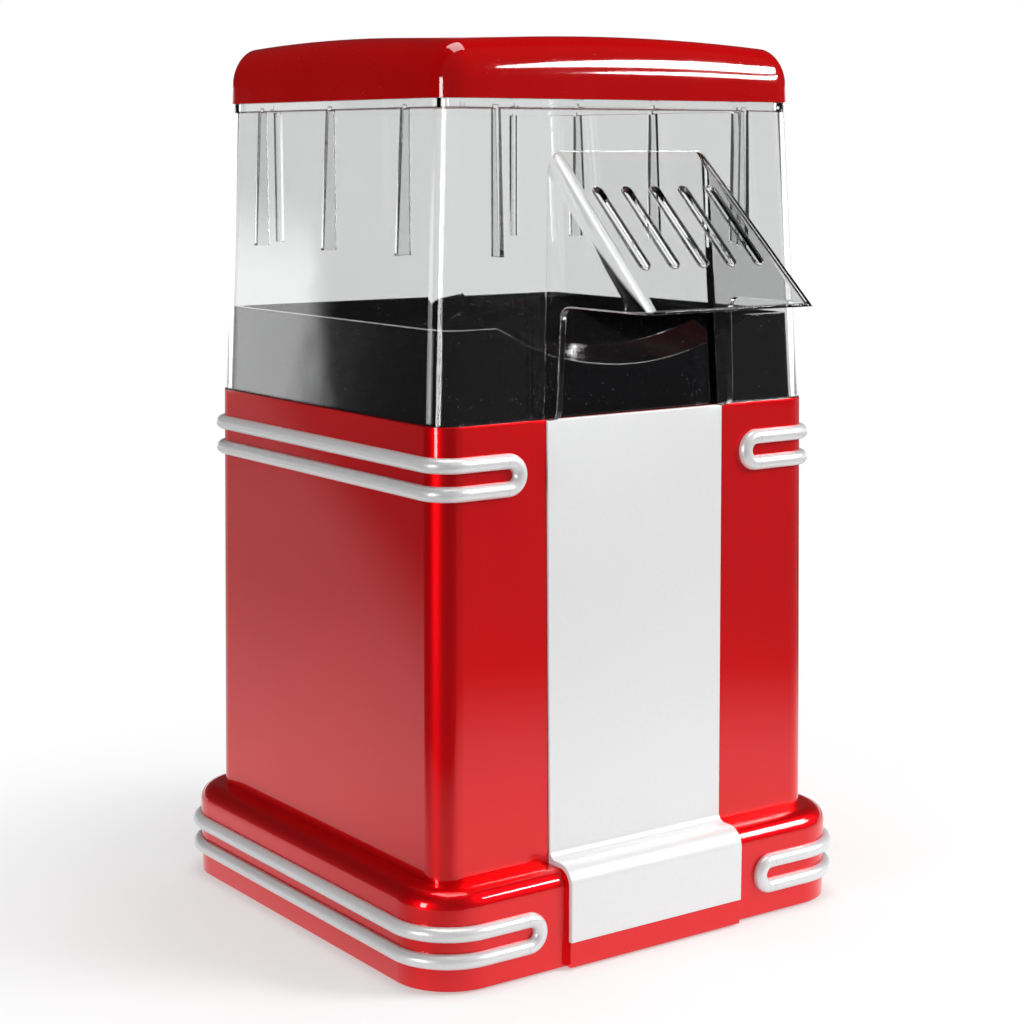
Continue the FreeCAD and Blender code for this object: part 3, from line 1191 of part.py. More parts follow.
place(rocker, "switchOffset", pivotY, "switchHeight")
tabEnd = f"({plinthBack} - switchDepth - tabLength)"
lowerTab = "(switchHeight - terminalPitch / 2)"
upperTab = "(switchHeight + terminalPitch / 2)"
group("switch_terminals", [
    box(f"SwitchTab{i}", about("switchOffset", "tabThickness / 2"), (tabEnd, f"{plinthBack} - switchDepth"),
        about(height, "tabWidth / 2")) for i, height in enumerate((lowerTab, upperTab))])

gland = new_body("cord_gland")
glandEnd = "-plinthWall - glandLugLength"
turned(gland, [
    ("glandBoreRadius", glandEnd),
    ("glandNeckRadius + glandLug", glandEnd),
    ("glandNeckRadius + glandLug", "-plinthWall"),
    ("glandNeckRadius", "-plinthWall"),
    ("glandNeckRadius", "0"),
    ("glandFlangeRadius", "0"),
    ("glandFlangeRadius", "glandFlangeThickness"),
    ("glandBoreRadius", "glandFlangeThickness"),
])
gland.Placement = FreeCAD.Placement(FreeCAD.Vector(), FreeCAD.Rotation(FreeCAD.Vector(-1, 0, 0), 90))
place(gland, "-glandOffset", plinthBack, "glandHeight")

# Inner wires from the gland to the switch, from the switch to the thermostat, from the gland to the fuse


def lead(label, points):
    spots = [FreeCAD.Vector(*(number(text) for text in point)) for point in points]
    bend = number("leadBend")
    edges = []
    start = spots[0]
    for before, corner, after in zip(spots, spots[1:], spots[2:]):
        arrive = (corner - before).normalize()
        leave = (after - corner).normalize()
        half = arrive.getAngle(leave) / 2
        setback = bend * math.tan(half)
        first = corner - arrive * setback
        last = corner + leave * setback
        inward = (leave - arrive).normalize()
        crown = corner + inward * (bend / math.cos(half) - bend)
        edges.append(Part.LineSegment(start, first).toShape())
        edges.append(Part.Arc(first, crown, last).toShape())
        start = last
    edges.append(Part.LineSegment(start, spots[-1]).toShape())
    path = doc.addObject("Part::Feature", label + "_path")
    path.Shape = Part.Wire(edges)
    node(swept(label + "_wire", path, "leadRadius", *path_start(path)), label)


glandInside = f"{plinthBack} - plinthWall - 4 * glandLugLength"
crossing = f"{plinthBack} - leadReach"
liveX = "(-glandOffset + leadPitch / 2)"
neutralX = "(-glandOffset - leadPitch / 2)"
tabTouch = f"{tabEnd} - 2 * fitGap"
thermostatTab = f"({thermostatTop} + tabLength / 2)"
lead("live_lead", [
    (liveX, glandInside, "glandHeight"),
    (liveX, crossing, "glandHeight"),
    ("switchOffset", crossing, lowerTab),
    ("switchOffset", tabTouch, lowerTab),
])
lead("switched_lead", [
    ("switchOffset", tabTouch, upperTab),
    ("switchOffset", crossing, upperTab),
    ("leadRiser", crossing, upperTab),
    ("leadRiser", crossing, thermostatTab),
    ("thermostatRadius / 2 + tabThickness / 2 + 2 * fitGap", flangeMiddle, thermostatTab),
])
lead("neutral_lead", [
    (neutralX, glandInside, "glandHeight"),
    (neutralX, crossing, "glandHeight"),
    ("-leadRiser", crossing, "glandHeight"),
    ("-leadRiser", crossing, fuseHeight),
    (f"-{flangeMiddle}", f"{fuseSpan} + leadBend", fuseHeight),
    (f"-{flangeMiddle}", f"{fuseSpan} / 2 + 2 * fitGap", fuseHeight),
])

# Screws

screws("base_screws", corners(bossX, bossY), f"{plateBottom} + screwHeadHeight", f"{plateTop} + screwBite")
screws("body_screws", corners(bodyBossX, bodyBossY), plinthInside, "plinthHeight + screwBite")
screws("tray_screws", corners(trayBossX, trayBossY), ledgeBottom, f"{ledgeTop} + screwBite")
screws("chamber_screws", corners(chamberScrewAt, chamberScrewAt), f"{shroudTop} - shroudWall",
       f"{shroudTop} + 0.6 * screwBite")
screws("duct_screws", corners(ductScrewAt, ductScrewAt), shelf, f"{ductTop} - screwBite")
screws("bracket_screws", bracketScrews, motorTop, f"{bracketTop} + bracketStandoff + ductWall * 0.6")
screws("motor_screws", motorScrews, bracketTop, f"{motorTop} - 2 * motorWall")

# Check and write every piece

doc.recompute()
for item in doc.Objects:
    if "Invalid" in item.State or "Error" in item.State:
        raise RuntimeError(f"{item.Name} ({item.Label}) did not build: {item.getStatusString()}")
for item in doc.Objects:
    if item.TypeId == "PartDesign::Pocket" and item.Shape.Volume > item.BaseFeature.Shape.Volume - 1e-3:
        raise RuntimeError(f"{item.Name} cuts nothing")
os.makedirs("parts", exist_ok=True)
for item in nodes:
    shape = item.Shape
    if shape.isNull() or not shape.isValid() or not shape.Solids:
        raise RuntimeError(f"{item.Label} has no sound solid")
    shape.exportStep(f"parts/{item.Label}.step")
    print(f"{item.Label}: {len(shape.Solids)} solids, {shape.Volume / 1000:.2f} cm3")
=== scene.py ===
import bpy, bmesh, math
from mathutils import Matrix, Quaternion, Vector


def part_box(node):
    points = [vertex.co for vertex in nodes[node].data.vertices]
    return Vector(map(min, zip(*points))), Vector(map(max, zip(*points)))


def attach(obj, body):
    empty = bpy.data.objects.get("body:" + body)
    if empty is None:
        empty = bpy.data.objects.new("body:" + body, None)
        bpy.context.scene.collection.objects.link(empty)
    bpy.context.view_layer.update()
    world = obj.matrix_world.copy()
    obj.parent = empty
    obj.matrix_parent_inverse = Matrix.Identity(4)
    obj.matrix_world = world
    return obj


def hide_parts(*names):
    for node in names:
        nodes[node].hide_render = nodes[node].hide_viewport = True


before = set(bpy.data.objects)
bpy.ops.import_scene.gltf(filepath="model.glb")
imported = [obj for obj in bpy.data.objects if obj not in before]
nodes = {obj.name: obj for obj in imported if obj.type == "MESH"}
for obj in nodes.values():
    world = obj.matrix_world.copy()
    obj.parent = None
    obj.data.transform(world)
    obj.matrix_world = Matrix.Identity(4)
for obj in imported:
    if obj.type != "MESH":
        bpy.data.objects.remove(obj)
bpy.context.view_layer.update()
mm = 0.001
print("frame loaded:", len(nodes), "nodes")


# shader sums: a Tap is one node's output, and plain arithmetic on it adds Math nodes

class Tap:
    def __init__(self, tree, socket=None):
        self.tree = tree
        self.socket = socket

    def add(self, kind, settings={}, inputs={}, out=0):
        made = self.tree.nodes.new(kind)
        for name, value in settings.items():
            setattr(made, name, value)
        for name, value in inputs.items():
            if isinstance(value, Tap):
                self.tree.links.new(value.socket, made.inputs[name])
            else:
                made.inputs[name].default_value = value
        return Tap(self.tree, made.outputs[out]) if made.outputs else None

    def maths(self, operation, first, second=0.0):
        return self.add("ShaderNodeMath", {"operation": operation}, {0: first, 1: second})

    def __add__(self, other):
        return self.maths("ADD", self, other)

    __radd__ = __add__

    def __sub__(self, other):
        return self.maths("SUBTRACT", self, other)

    def __rsub__(self, other):
        return self.maths("SUBTRACT", other, self)

    def __mul__(self, other):
        return self.maths("MULTIPLY", self, other)

    __rmul__ = __mul__

    def __abs__(self):
        return self.maths("ABSOLUTE", self)

    def least(self, other):
        return self.maths("MINIMUM", self, other)

    def most(self, other):
        return self.maths("MAXIMUM", self, other)

    def ease(self, start, end):  # 0 at start, 1 at end, smooth between
        return self.add("ShaderNodeMapRange", {"interpolation_type": "SMOOTHSTEP"},
                        {"Value": self, "From Min": start, "From Max": end})

    def swing(self, reach):  # a noise about its mean
        return (self - 0.5) * reach


def newFinish(name):
    material = bpy.data.materials.new(name)
    material.use_nodes = True
    material.node_tree.nodes.clear()
    tap = Tap(material.node_tree)
    return material, tap, tap.add("ShaderNodeTexCoord", out="Object")


def noise(tap, spot, scale, detail):
    return tap.add("ShaderNodeTexNoise", {}, {"Vector": spot, "Scale": scale, "Detail": detail}, out="Fac")


def stretched(tap, spot, scale):
    return tap.add("ShaderNodeMapping", {}, {"Vector": spot, "Scale": scale})


def tint(tap, share, low, high):
    return tap.add("ShaderNodeMix", {"data_type": "RGBA"}, {0: share, 6: low, 7: high}, out=2)


def axes(tap, spot):
    return [tap.add("ShaderNodeSeparateXYZ", {}, {0: spot}, out=i) for i in range(3)]


def fromMiddle(tap, across, along):  # distance from the upright axis
    return tap.maths("SQRT", across * across + along * along)


def relief(tap, height, strength, distance, edge=0.0):  # edge: how far worn edges are rounded
    inputs = {"Strength": strength, "Distance": distance, "Height": height}
    if edge:
        inputs["Normal"] = tap.add("ShaderNodeBevel", {"samples": 6}, {"Radius": edge})
    return tap.add("ShaderNodeBump", {}, inputs)


def principled(tap, **sockets):
    inputs = {name.replace("_", " "): value for name, value in sockets.items()}
    return tap.add("ShaderNodeBsdfPrincipled", {}, inputs)


def dress(tap, shader):
    tap.add("ShaderNodeOutputMaterial", {}, {"Surface": shader})


# red lacquer over bright metal, on the body and the plinth

candyRed = {"deep": (0.72, 0.0002, 0.002, 1), "bright": (0.90, 0.001, 0.006, 1), "tint": 0.55,
            "metal": 0.8, "rough": 0.41, "coat": 1.0, "coatRough": 0.03, "coatIndex": 1.5,
            "flake": 2400, "flakeTint": 0.5, "flakeRough": 0.08, "cloud": 14, "cloudTint": 0.6,
            "wipe": (90, 90, 9), "wipeRough": 0.06, "peel": 260, "wave": 32,
            "peelHeight": 0.5, "flakeHeight": 0.3, "waveHeight": 4,
            "relief": 0.06, "depth": 0.4 * mm, "edge": 0.7 * mm}


def makeCandyRed(look):
    material, tap, spot = newFinish("candyRed")
    flake = noise(tap, spot, look["flake"], detail=1)
    cloud = noise(tap, spot, look["cloud"], detail=3)
    peel = noise(tap, spot, look["peel"], detail=1)
    wiped = noise(tap, stretched(tap, spot, look["wipe"]), scale=1, detail=4)  # faint upright wiping marks
    wave = noise(tap, spot, look["wave"], detail=1)  # the shell is never quite flat
    share = flake.swing(look["flakeTint"]) + cloud.swing(look["cloudTint"]) + look["tint"]
    height = peel * look["peelHeight"] + flake * look["flakeHeight"] + wave * look["waveHeight"]
    dress(tap, principled(
        tap, Base_Color=tint(tap, share, look["deep"], look["bright"]), Metallic=look["metal"],
        Roughness=look["rough"] + flake.swing(look["flakeRough"]) + wiped.swing(look["wipeRough"]),
        Coat_Weight=look["coat"], Coat_Roughness=look["coatRough"], Coat_IOR=look["coatIndex"],
        Specular_IOR_Level=0.0, Normal=relief(tap, height, look["relief"], look["depth"], look["edge"])))
    return material


# solid gloss red of the lid

lidRed = {"deep": (0.36, 0.0, 0.0005, 1), "bright": (0.44, 0.0002, 0.001, 1), "rough": 0.06, "index": 1.5,
          "coat": 0.3, "coatRough": 0.03, "smudge": 22, "smudged": (0.45, 0.75), "smudgeRough": 0.06,
          "dust": 1500, "dusty": (0.78, 0.84), "dustRough": 0.2,
          "peel": 190, "relief": 0.05, "depth": 0.4 * mm,
          "flat": 66 * mm, "flatEdge": 6 * mm, "flatMiddle": 1.95 * mm, "flatRough": 0.84}


def makeLidRed(look):
    material, tap, spot = newFinish("lidRed")
    peel = noise(tap, spot, look["peel"], detail=1)
    smudge = noise(tap, spot, look["smudge"], detail=4)
    dust = noise(tap, spot, look["dust"], detail=0).ease(*look["dusty"])
    across, along = axes(tap, spot)[:2]
    # a film of dust and wiping dulls the flat top
    dull = (look["flat"] - abs(across)).ease(0, look["flatEdge"])
    dull = dull * (look["flat"] - abs(along - look["flatMiddle"])).ease(0, look["flatEdge"])
    rough = look["rough"] + smudge.ease(*look["smudged"]) * look["smudgeRough"] + dust * look["dustRough"]
    dress(tap, principled(
        tap, Base_Color=tint(tap, smudge, look["deep"], look["bright"]), IOR=look["index"],
        Roughness=rough + dull * look["flatRough"],
        Coat_Weight=look["coat"] - dull * look["coat"], Coat_Roughness=look["coatRough"],
        Normal=relief(tap, peel, look["relief"], look["depth"])))
    return material


# pearl white lacquer of the front strip

pearlWhite = {"shade": (0.67, 0.675, 0.68, 1), "light": (0.79, 0.792, 0.795, 1), "tint": 0.6, "metal": 0.15,
              "rough": 0.36, "coat": 0.25, "coatRough": 0.15,
              "flake": 2100, "flakeTint": 0.6, "flakeRough": 0.12,
              "cloud": 11, "cloudTint": 0.3, "cloudRough": 0.1,
              "relief": 0.05, "depth": 0.3 * mm, "edge": 0.5 * mm}


def makePearlWhite(look):
    material, tap, spot = newFinish("pearlWhite")
    flake = noise(tap, spot, look["flake"], detail=1)
    cloud = noise(tap, spot, look["cloud"], detail=3)
    share = flake.swing(look["flakeTint"]) + cloud.swing(look["cloudTint"]) + look["tint"]
    dress(tap, principled(
        tap, Base_Color=tint(tap, share, look["shade"], look["light"]), Metallic=look["metal"],
        Roughness=look["rough"] + flake.swing(look["flakeRough"]) + cloud.swing(look["cloudRough"]),
        Coat_Weight=look["coat"], Coat_Roughness=look["coatRough"],
        Normal=relief(tap, flake, look["relief"], look["depth"], look["edge"])))
    return material


# satin silver of the rods, with the fine joint where each end bend begins

satinSilver = {"shade": (0.59, 0.59, 0.60, 1), "light": (0.82, 0.82, 0.825, 1), "tint": 0.62, "metal": 0.38,
               "rough": 0.36, "flake": 2600, "flakeTint": 0.7, "flakeRough": 0.16,
               "cloud": 30, "cloudTint": 0.3,
               "joint": 53.0 * mm, "jointEdge": (0.08 * mm, 0.22 * mm), "jointTint": 0.55, "jointRough": 0.3,
               "flakeHeight": 0.3, "relief": 0.12, "depth": 0.3 * mm}


def makeSatinSilver(look):
    material, tap, spot = newFinish("satinSilver")
    flake = noise(tap, spot, look["flake"], detail=1)
    cloud = noise(tap, spot, look["cloud"], detail=3)
    across = axes(tap, spot)[0]
    joint = 1 - abs(abs(across) - look["joint"]).ease(*look["jointEdge"])
    share = flake.swing(look["flakeTint"]) + cloud.swing(look["cloudTint"]) + look["tint"]
    share = share - joint * look["jointTint"]
    dress(tap, principled(
        tap, Base_Color=tint(tap, share, look["shade"], look["light"]), Metallic=look["metal"],
        Roughness=look["rough"] + flake.swing(look["flakeRough"]) + joint * look["jointRough"],
        Normal=relief(tap, flake * look["flakeHeight"] - joint, look["relief"], look["depth"])))
    return material


# gloss black of the tray, with dust and rubbed marks

glossBlack = {"deep": (0.0025, 0.0025, 0.003, 1), "worn": (0.03, 0.03, 0.032, 1),
              "rough": 0.09, "wornRough": 0.3, "index": 1.5,
              "dust": 1400, "dusty": (0.79, 0.84), "dustShare": 0.9,
              "rub": (260, 260, 26), "rubbed": (0.62, 0.80), "rubShare": 0.5,
              "cloud": 25, "clouded": (0.5, 0.7), "cloudRough": 0.06,
              "peel": 150, "relief": 0.04, "depth": 0.4 * mm, "edge": 0.6 * mm}


def makeGlossBlack(look):
    material, tap, spot = newFinish("glossBlack")
    dust = noise(tap, spot, look["dust"], detail=0).ease(*look["dusty"])
    rubbed = noise(tap, stretched(tap, spot, look["rub"]), scale=1, detail=3).ease(*look["rubbed"])
    cloud = noise(tap, spot, look["cloud"], detail=4)
    worn = (dust * look["dustShare"]).most(rubbed * cloud.ease(*look["clouded"]) * look["rubShare"])
    peel = noise(tap, spot, look["peel"], detail=1)
    dress(tap, principled(
        tap, Base_Color=tint(tap, worn, look["deep"], look["worn"]), IOR=look["index"],
        Roughness=look["rough"] + worn * look["wornRough"] + cloud.swing(look["cloudRough"]),
        Normal=relief(tap, peel, look["relief"], look["depth"], look["edge"])))
    return material


# clear hood: glass to the eye, lightly toned for the lamps' shadows

clearHood = {"body": (0.875, 0.880, 0.880, 1), "shadow": (0.90, 0.91, 0.91, 1), "index": 1.5, "rough": 0.008,
             "smudge": 34, "smudged": (0.55, 0.85), "smudgeRough": 0.05,
             "wave": 28, "relief": 0.06, "depth": 1 * mm, "edge": 0.6 * mm}


def makeClearHood(look):
    material, tap, spot = newFinish("clearHood")
    wave = noise(tap, spot, look["wave"], detail=1)
    smudge = noise(tap, spot, look["smudge"], detail=4)
    glass = principled(
        tap, Base_Color=look["body"], Transmission_Weight=1.0, IOR=look["index"],
        Roughness=look["rough"] + smudge.ease(*look["smudged"]) * look["smudgeRough"],
        Normal=relief(tap, wave, look["relief"], look["depth"], look["edge"]))
    lamp = tap.add("ShaderNodeBsdfTransparent", {}, {"Color": look["shadow"]})
    shadowRay = tap.add("ShaderNodeLightPath", out="Is Shadow Ray")
    dress(tap, tap.add("ShaderNodeMixShader", {}, {0: shadowRay, 1: glass, 2: lamp}))
    return material


# moulded and soft pieces: a broad cloud of tone, a fine grain and its relief

mouldedShares = {"cloud": 40, "cloudTint": 0.7, "cloudRough": 0.14, "grainTint": 0.6, "grainRough": 0.08,
                 "tint": 0.5, "relief": 0.2, "depth": 0.3 * mm}
mouldedLooks = {
    "blackPlastic": {"dark": (0.010, 0.010, 0.011, 1), "light": (0.026, 0.026, 0.028, 1),
                     "grain": 1500, "rough": 0.46},
    "rubber": {"dark": (0.012, 0.012, 0.012, 1), "light": (0.035, 0.034, 0.033, 1),
               "grain": 900, "rough": 0.78},
    "silicone": {"dark": (0.50, 0.06, 0.03, 1), "light": (0.62, 0.10, 0.06, 1),
                 "grain": 700, "rough": 0.6},
    "fanPlastic": {"dark": (0.30, 0.29, 0.26, 1), "light": (0.42, 0.41, 0.37, 1),
                   "grain": 900, "rough": 0.42},
    "brownWire": {"dark": (0.10, 0.035, 0.012, 1), "light": (0.16, 0.06, 0.022, 1),
                  "grain": 800, "rough": 0.45},
    "blueWire": {"dark": (0.01, 0.06, 0.26, 1), "light": (0.02, 0.10, 0.38, 1),
                 "grain": 800, "rough": 0.45},
    "cutOut": {"dark": (0.22, 0.17, 0.12, 1), "light": (0.34, 0.27, 0.19, 1),
               "grain": 600, "rough": 0.5},
    "ferrite": {"dark": (0.030, 0.030, 0.032, 1), "light": (0.075, 0.072, 0.070, 1),
                "grain": 1300, "rough": 0.7},
}


def makeMoulded(name, look):
    shares = mouldedShares
    material, tap, spot = newFinish(name)
    cloud = noise(tap, spot, shares["cloud"], detail=3)
    grain = noise(tap, spot, look["grain"], detail=2)
    share = cloud.swing(shares["cloudTint"]) + grain.swing(shares["grainTint"]) + shares["tint"]
    dress(tap, principled(
        tap, Base_Color=tint(tap, share, look["dark"], look["light"]),
        Roughness=look["rough"] + cloud.swing(shares["cloudRough"]) + grain.swing(shares["grainRough"]),
        Normal=relief(tap, grain, shares["relief"], shares["depth"])))
    return material


# bare metals: brushed or turned lines and a little tarnish

metalShares = {"lineTint": 0.5, "lineRough": 0.14, "stain": 60, "stainTint": 0.8, "stained": (0.5, 0.8),
               "stainRough": 0.12, "tint": 0.55, "relief": 0.12, "depth": 0.2 * mm}
metalLooks = {
    "aluminium": {"dark": (0.52, 0.53, 0.54, 1), "light": (0.80, 0.80, 0.81, 1),
                  "grain": 900, "rough": 0.30, "turned": True, "brush": (1, 1, 1.2)},
    "steel": {"dark": (0.42, 0.42, 0.43, 1), "light": (0.68, 0.68, 0.69, 1),
              "grain": 500, "rough": 0.34, "brush": (1, 1, 6)},
    "brass": {"dark": (0.50, 0.34, 0.12, 1), "light": (0.74, 0.56, 0.24, 1),
              "grain": 700, "rough": 0.32, "brush": (1, 1, 5)},
    "heatingWire": {"dark": (0.10, 0.09, 0.085, 1), "light": (0.30, 0.27, 0.24, 1),
                    "grain": 1500, "rough": 0.5, "brush": (1, 1, 1)},
}


def makeMetal(name, look):
    shares = metalShares
    material, tap, spot = newFinish(name)
    if look.get("turned"):  # rings about the upright axis
        across, along, upright = axes(tap, spot)
        ring = fromMiddle(tap, across, along)
        spot = tap.add("ShaderNodeCombineXYZ", {}, {0: ring, 1: 0.0, 2: upright})
    lines = noise(tap, stretched(tap, spot, look["brush"]), look["grain"], detail=2)
    stain = noise(tap, spot, shares["stain"], detail=4)
    share = lines.swing(shares["lineTint"]) + stain.swing(shares["stainTint"]) + shares["tint"]
    rough = look["rough"] + lines.swing(shares["lineRough"])
    rough = rough + stain.ease(*shares["stained"]) * shares["stainRough"]
    dress(tap, principled(
        tap, Base_Color=tint(tap, share, look["dark"], look["light"]), Metallic=1.0, Roughness=rough,
        Normal=relief(tap, lines, shares["relief"], shares["depth"])))
    return material


# plates with fine layers or rows across one axis

layeredShares = {"fleckRough": 0.2, "relief": 0.25, "depth": 0.2 * mm}
layeredLooks = {
    "mica": {"dark": (0.34, 0.29, 0.21, 1), "light": (0.62, 0.57, 0.46, 1),
             "axis": 2, "pitch": 1.1 * mm, "rowShare": 0.25, "grain": 420, "rough": 0.38, "metal": 0.0},
    "laminations": {"dark": (0.12, 0.12, 0.13, 1), "light": (0.46, 0.46, 0.47, 1),
                    "axis": 2, "pitch": 0.5 * mm, "rowShare": 0.6, "grain": 700, "rough": 0.45, "metal": 0.9},
    "circuit": {"dark": (0.02, 0.09, 0.035, 1), "light": (0.05, 0.19, 0.07, 1),
                "axis": 0, "pitch": 2.54 * mm, "rowShare": 0.5, "grain": 900, "rough": 0.4, "metal": 0.0},
}


def makeLayered(name, look):
    shares = layeredShares
    material, tap, spot = newFinish(name)
    level = axes(tap, spot)[look["axis"]]
    rows = tap.maths("SINE", level * (2 * math.pi / look["pitch"])) * 0.5 + 0.5
    fleck = noise(tap, spot, look["grain"], detail=3)
    share = rows * look["rowShare"] + fleck * (1 - look["rowShare"])
    dress(tap, principled(
        tap, Base_Color=tint(tap, share, look["dark"], look["light"]), Metallic=look["metal"],
        Roughness=look["rough"] + fleck.swing(shares["fleckRough"]),
        Normal=relief(tap, share, shares["relief"], shares["depth"])))
    return material


finishes = {"candyRed": makeCandyRed(candyRed), "lidRed": makeLidRed(lidRed),
            "pearlWhite": makePearlWhite(pearlWhite), "satinSilver": makeSatinSilver(satinSilver),
            "glossBlack": makeGlossBlack(glossBlack), "clearHood": makeClearHood(clearHood)}
finishes.update({name: makeMoulded(name, look) for name, look in mouldedLooks.items()})
finishes.update({name: makeMetal(name, look) for name, look in metalLooks.items()})
finishes.update({name: makeLayered(name, look) for name, look in layeredLooks.items()})
print("finishes made:", len(finishes))

# which finish each CAD node wears

wornBy = {
    "candyRed": ["base_plinth", "body_shell"],
    "lidRed": ["hood_lid"],
    "pearlWhite": ["front_panel"],
    "satinSilver": ["upper_trim_left", "upper_trim_right", "lower_trim_left", "lower_trim_right"],
    "glossBlack": ["chamber_tray"],
    "clearHood": ["clear_hood"],
    "blackPlastic": ["bottom_plate", "fan_duct", "motor_end_cap",
                     "switch_housing", "switch_rocker", "cord_gland"],
    "rubber": ["rubber_feet"],
    "silicone": ["chamber_gasket"],
    "fanPlastic": ["fan_impeller"],
    "brownWire": ["live_lead", "switched_lead"],
    "blueWire": ["neutral_lead"],
    "cutOut": ["thermostat", "thermal_fuse"],
    "ferrite": ["motor_magnets"],
    "aluminium": ["popping_chamber"],
    "steel": ["heater_shroud", "motor_bracket", "motor_can", "motor_shaft", "fan_clip",
              "base_screws", "body_screws", "tray_screws", "chamber_screws",
              "duct_screws", "bracket_screws", "motor_screws"],
    "brass": ["motor_bushings", "switch_terminals"],
    "heatingWire": ["heater_coil"],
    "mica": ["heater_board"],
    "laminations": ["motor_rotor"],
    "circuit": ["rectifier_board"],
}
for finish, wearers in wornBy.items():
    for wearer in wearers:
        for slot in nodes[wearer].material_slots:
            slot.material = finishes[finish]
print("finishes on", sum(len(wearers) for wearers in wornBy.values()), "nodes")


sharpAngle = 40  # degrees between faces that keep a crease


def finishMesh(bm, name, finish, body, node):
    mesh = bpy.data.meshes.new(name)
    bm.to_mesh(mesh)
    bm.free()
    mesh.shade_smooth()
    mesh.set_sharp_from_angle(angle=math.radians(sharpAngle))
    mesh.materials.append(finishes[finish])
    piece = bpy.data.objects.new(name, mesh)
    bpy.context.scene.collection.objects.link(piece)
    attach(piece, body)
    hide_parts(node)
    return piece


# lid: an arched cap with a soft upper edge

lidShape = {"width": 145.1 * mm, "depth": 144.4 * mm, "middle": 1.95 * mm,
            "draft": 0.2 * mm, "wall": 2.2 * mm, "corner": 10.5 * mm, "cornerSteps": 10,
            "edge": 9 * mm, "roll": 15 * mm, "rollSteps": 12, "crown": 5800 * mm, "sag": 2.4 * mm,
            "lean": 0.8 * mm, "cuts": 12, "rings": (0.84, 0.78, 0.70, 0.55)}
facing = 0.9  # how squarely a face must look up or down to count as top or underside


def makeLid():
    low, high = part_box("hood_lid")
    foot, top = low.z, high.z
    edge, roll, steps = lidShape["edge"], lidShape["roll"], lidShape["rollSteps"]
    wallHigh = top - roll - foot
    bm = bmesh.new()
    bmesh.ops.create_cube(bm, size=1)
    bmesh.ops.scale(bm, vec=(lidShape["width"], lidShape["depth"], wallHigh), verts=bm.verts)
    bmesh.ops.translate(bm, vec=(0, 0, (top - roll + foot) / 2), verts=bm.verts)
    narrow = [1 - 2 * lidShape["draft"] / lidShape[side] for side in ("width", "depth")]
    bmesh.ops.scale(bm, vec=(*narrow, 1), verts=[v for v in bm.verts if v.co.z > (top - roll + foot) / 2])
    uprights = [e for e in bm.edges if abs(e.verts[0].co.z - e.verts[1].co.z) > 0.5 * wallHigh]
    bmesh.ops.bevel(bm, geom=uprights, offset=lidShape["corner"], offset_type="OFFSET",
                    segments=lidShape["cornerSteps"], profile=0.5, affect="EDGES", material=-1)
    bmesh.ops.delete(bm, geom=[f for f in bm.faces if f.normal.z < -facing], context="FACES_ONLY")
    long = [e for e in bm.edges if e.calc_length() > 0.5 * lidShape["width"]]
    bmesh.ops.subdivide_edges(bm, edges=long, cuts=lidShape["cuts"], use_grid_fill=True)
    crown = [f for f in bm.faces if f.normal.z > facing]
    for step in range(steps):  # rounded upper edge, a quarter of an upright ellipse
        start, end = [math.radians(90 * (step + i) / steps) for i in (0, 1)]
        bmesh.ops.inset_region(bm, faces=crown, thickness=edge * (math.cos(start) - math.cos(end)),
                               depth=roll * (math.sin(end) - math.sin(start)),
                               use_even_offset=True, use_boundary=True)
    for share in lidShape["rings"]:  # rings towards the middle
        drawn = bmesh.ops.extrude_face_region(bm, geom=crown)["geom"]
        bmesh.ops.delete(bm, geom=[f for f in crown if f.is_valid], context="FACES_ONLY")
        crown = [item for item in drawn if isinstance(item, bmesh.types.BMFace)]
        moved = [item for item in drawn if isinstance(item, bmesh.types.BMVert)]
        bmesh.ops.scale(bm, vec=(share, share, 1), verts=moved)
    bmesh.ops.poke(bm, faces=crown)
    for v in bm.verts:  # arched sides: the cap is lower towards its corners, and a little towards the front
        across, along = 2 * v.co.x / lidShape["width"], 2 * v.co.y / lidShape["depth"]
        drop = (v.co.x ** 2 + v.co.y ** 2) / (2 * lidShape["crown"])
        drop += lidShape["sag"] * across ** 2 * along ** 2 - lidShape["lean"] * along * across ** 2
        v.co.z -= drop * (v.co.z - foot) / (top - foot)
    bmesh.ops.translate(bm, vec=(0, lidShape["middle"], 0), verts=bm.verts)
    bmesh.ops.recalc_face_normals(bm, faces=bm.faces)
    bmesh.ops.solidify(bm, geom=bm.faces[:], thickness=lidShape["wall"])
    return finishMesh(bm, "lidCap", "lidRed", "lid", "hood_lid")


makeLid()
print("lid made")


# heating coil: resistance wire wound in close turns, laid in growing half rings on its board

coilShape = {"wire": 0.7 * mm, "wireSides": 6, "wound": 3.9 * mm, "pitch": 1.75 * mm, "turnSides": 10,
             "level": 108.15 * mm, "first": 12 * mm, "step": 4 * mm, "halves": 7, "pathSteps": 24,
             "round": 0.5523}  # handle length of a quarter circle


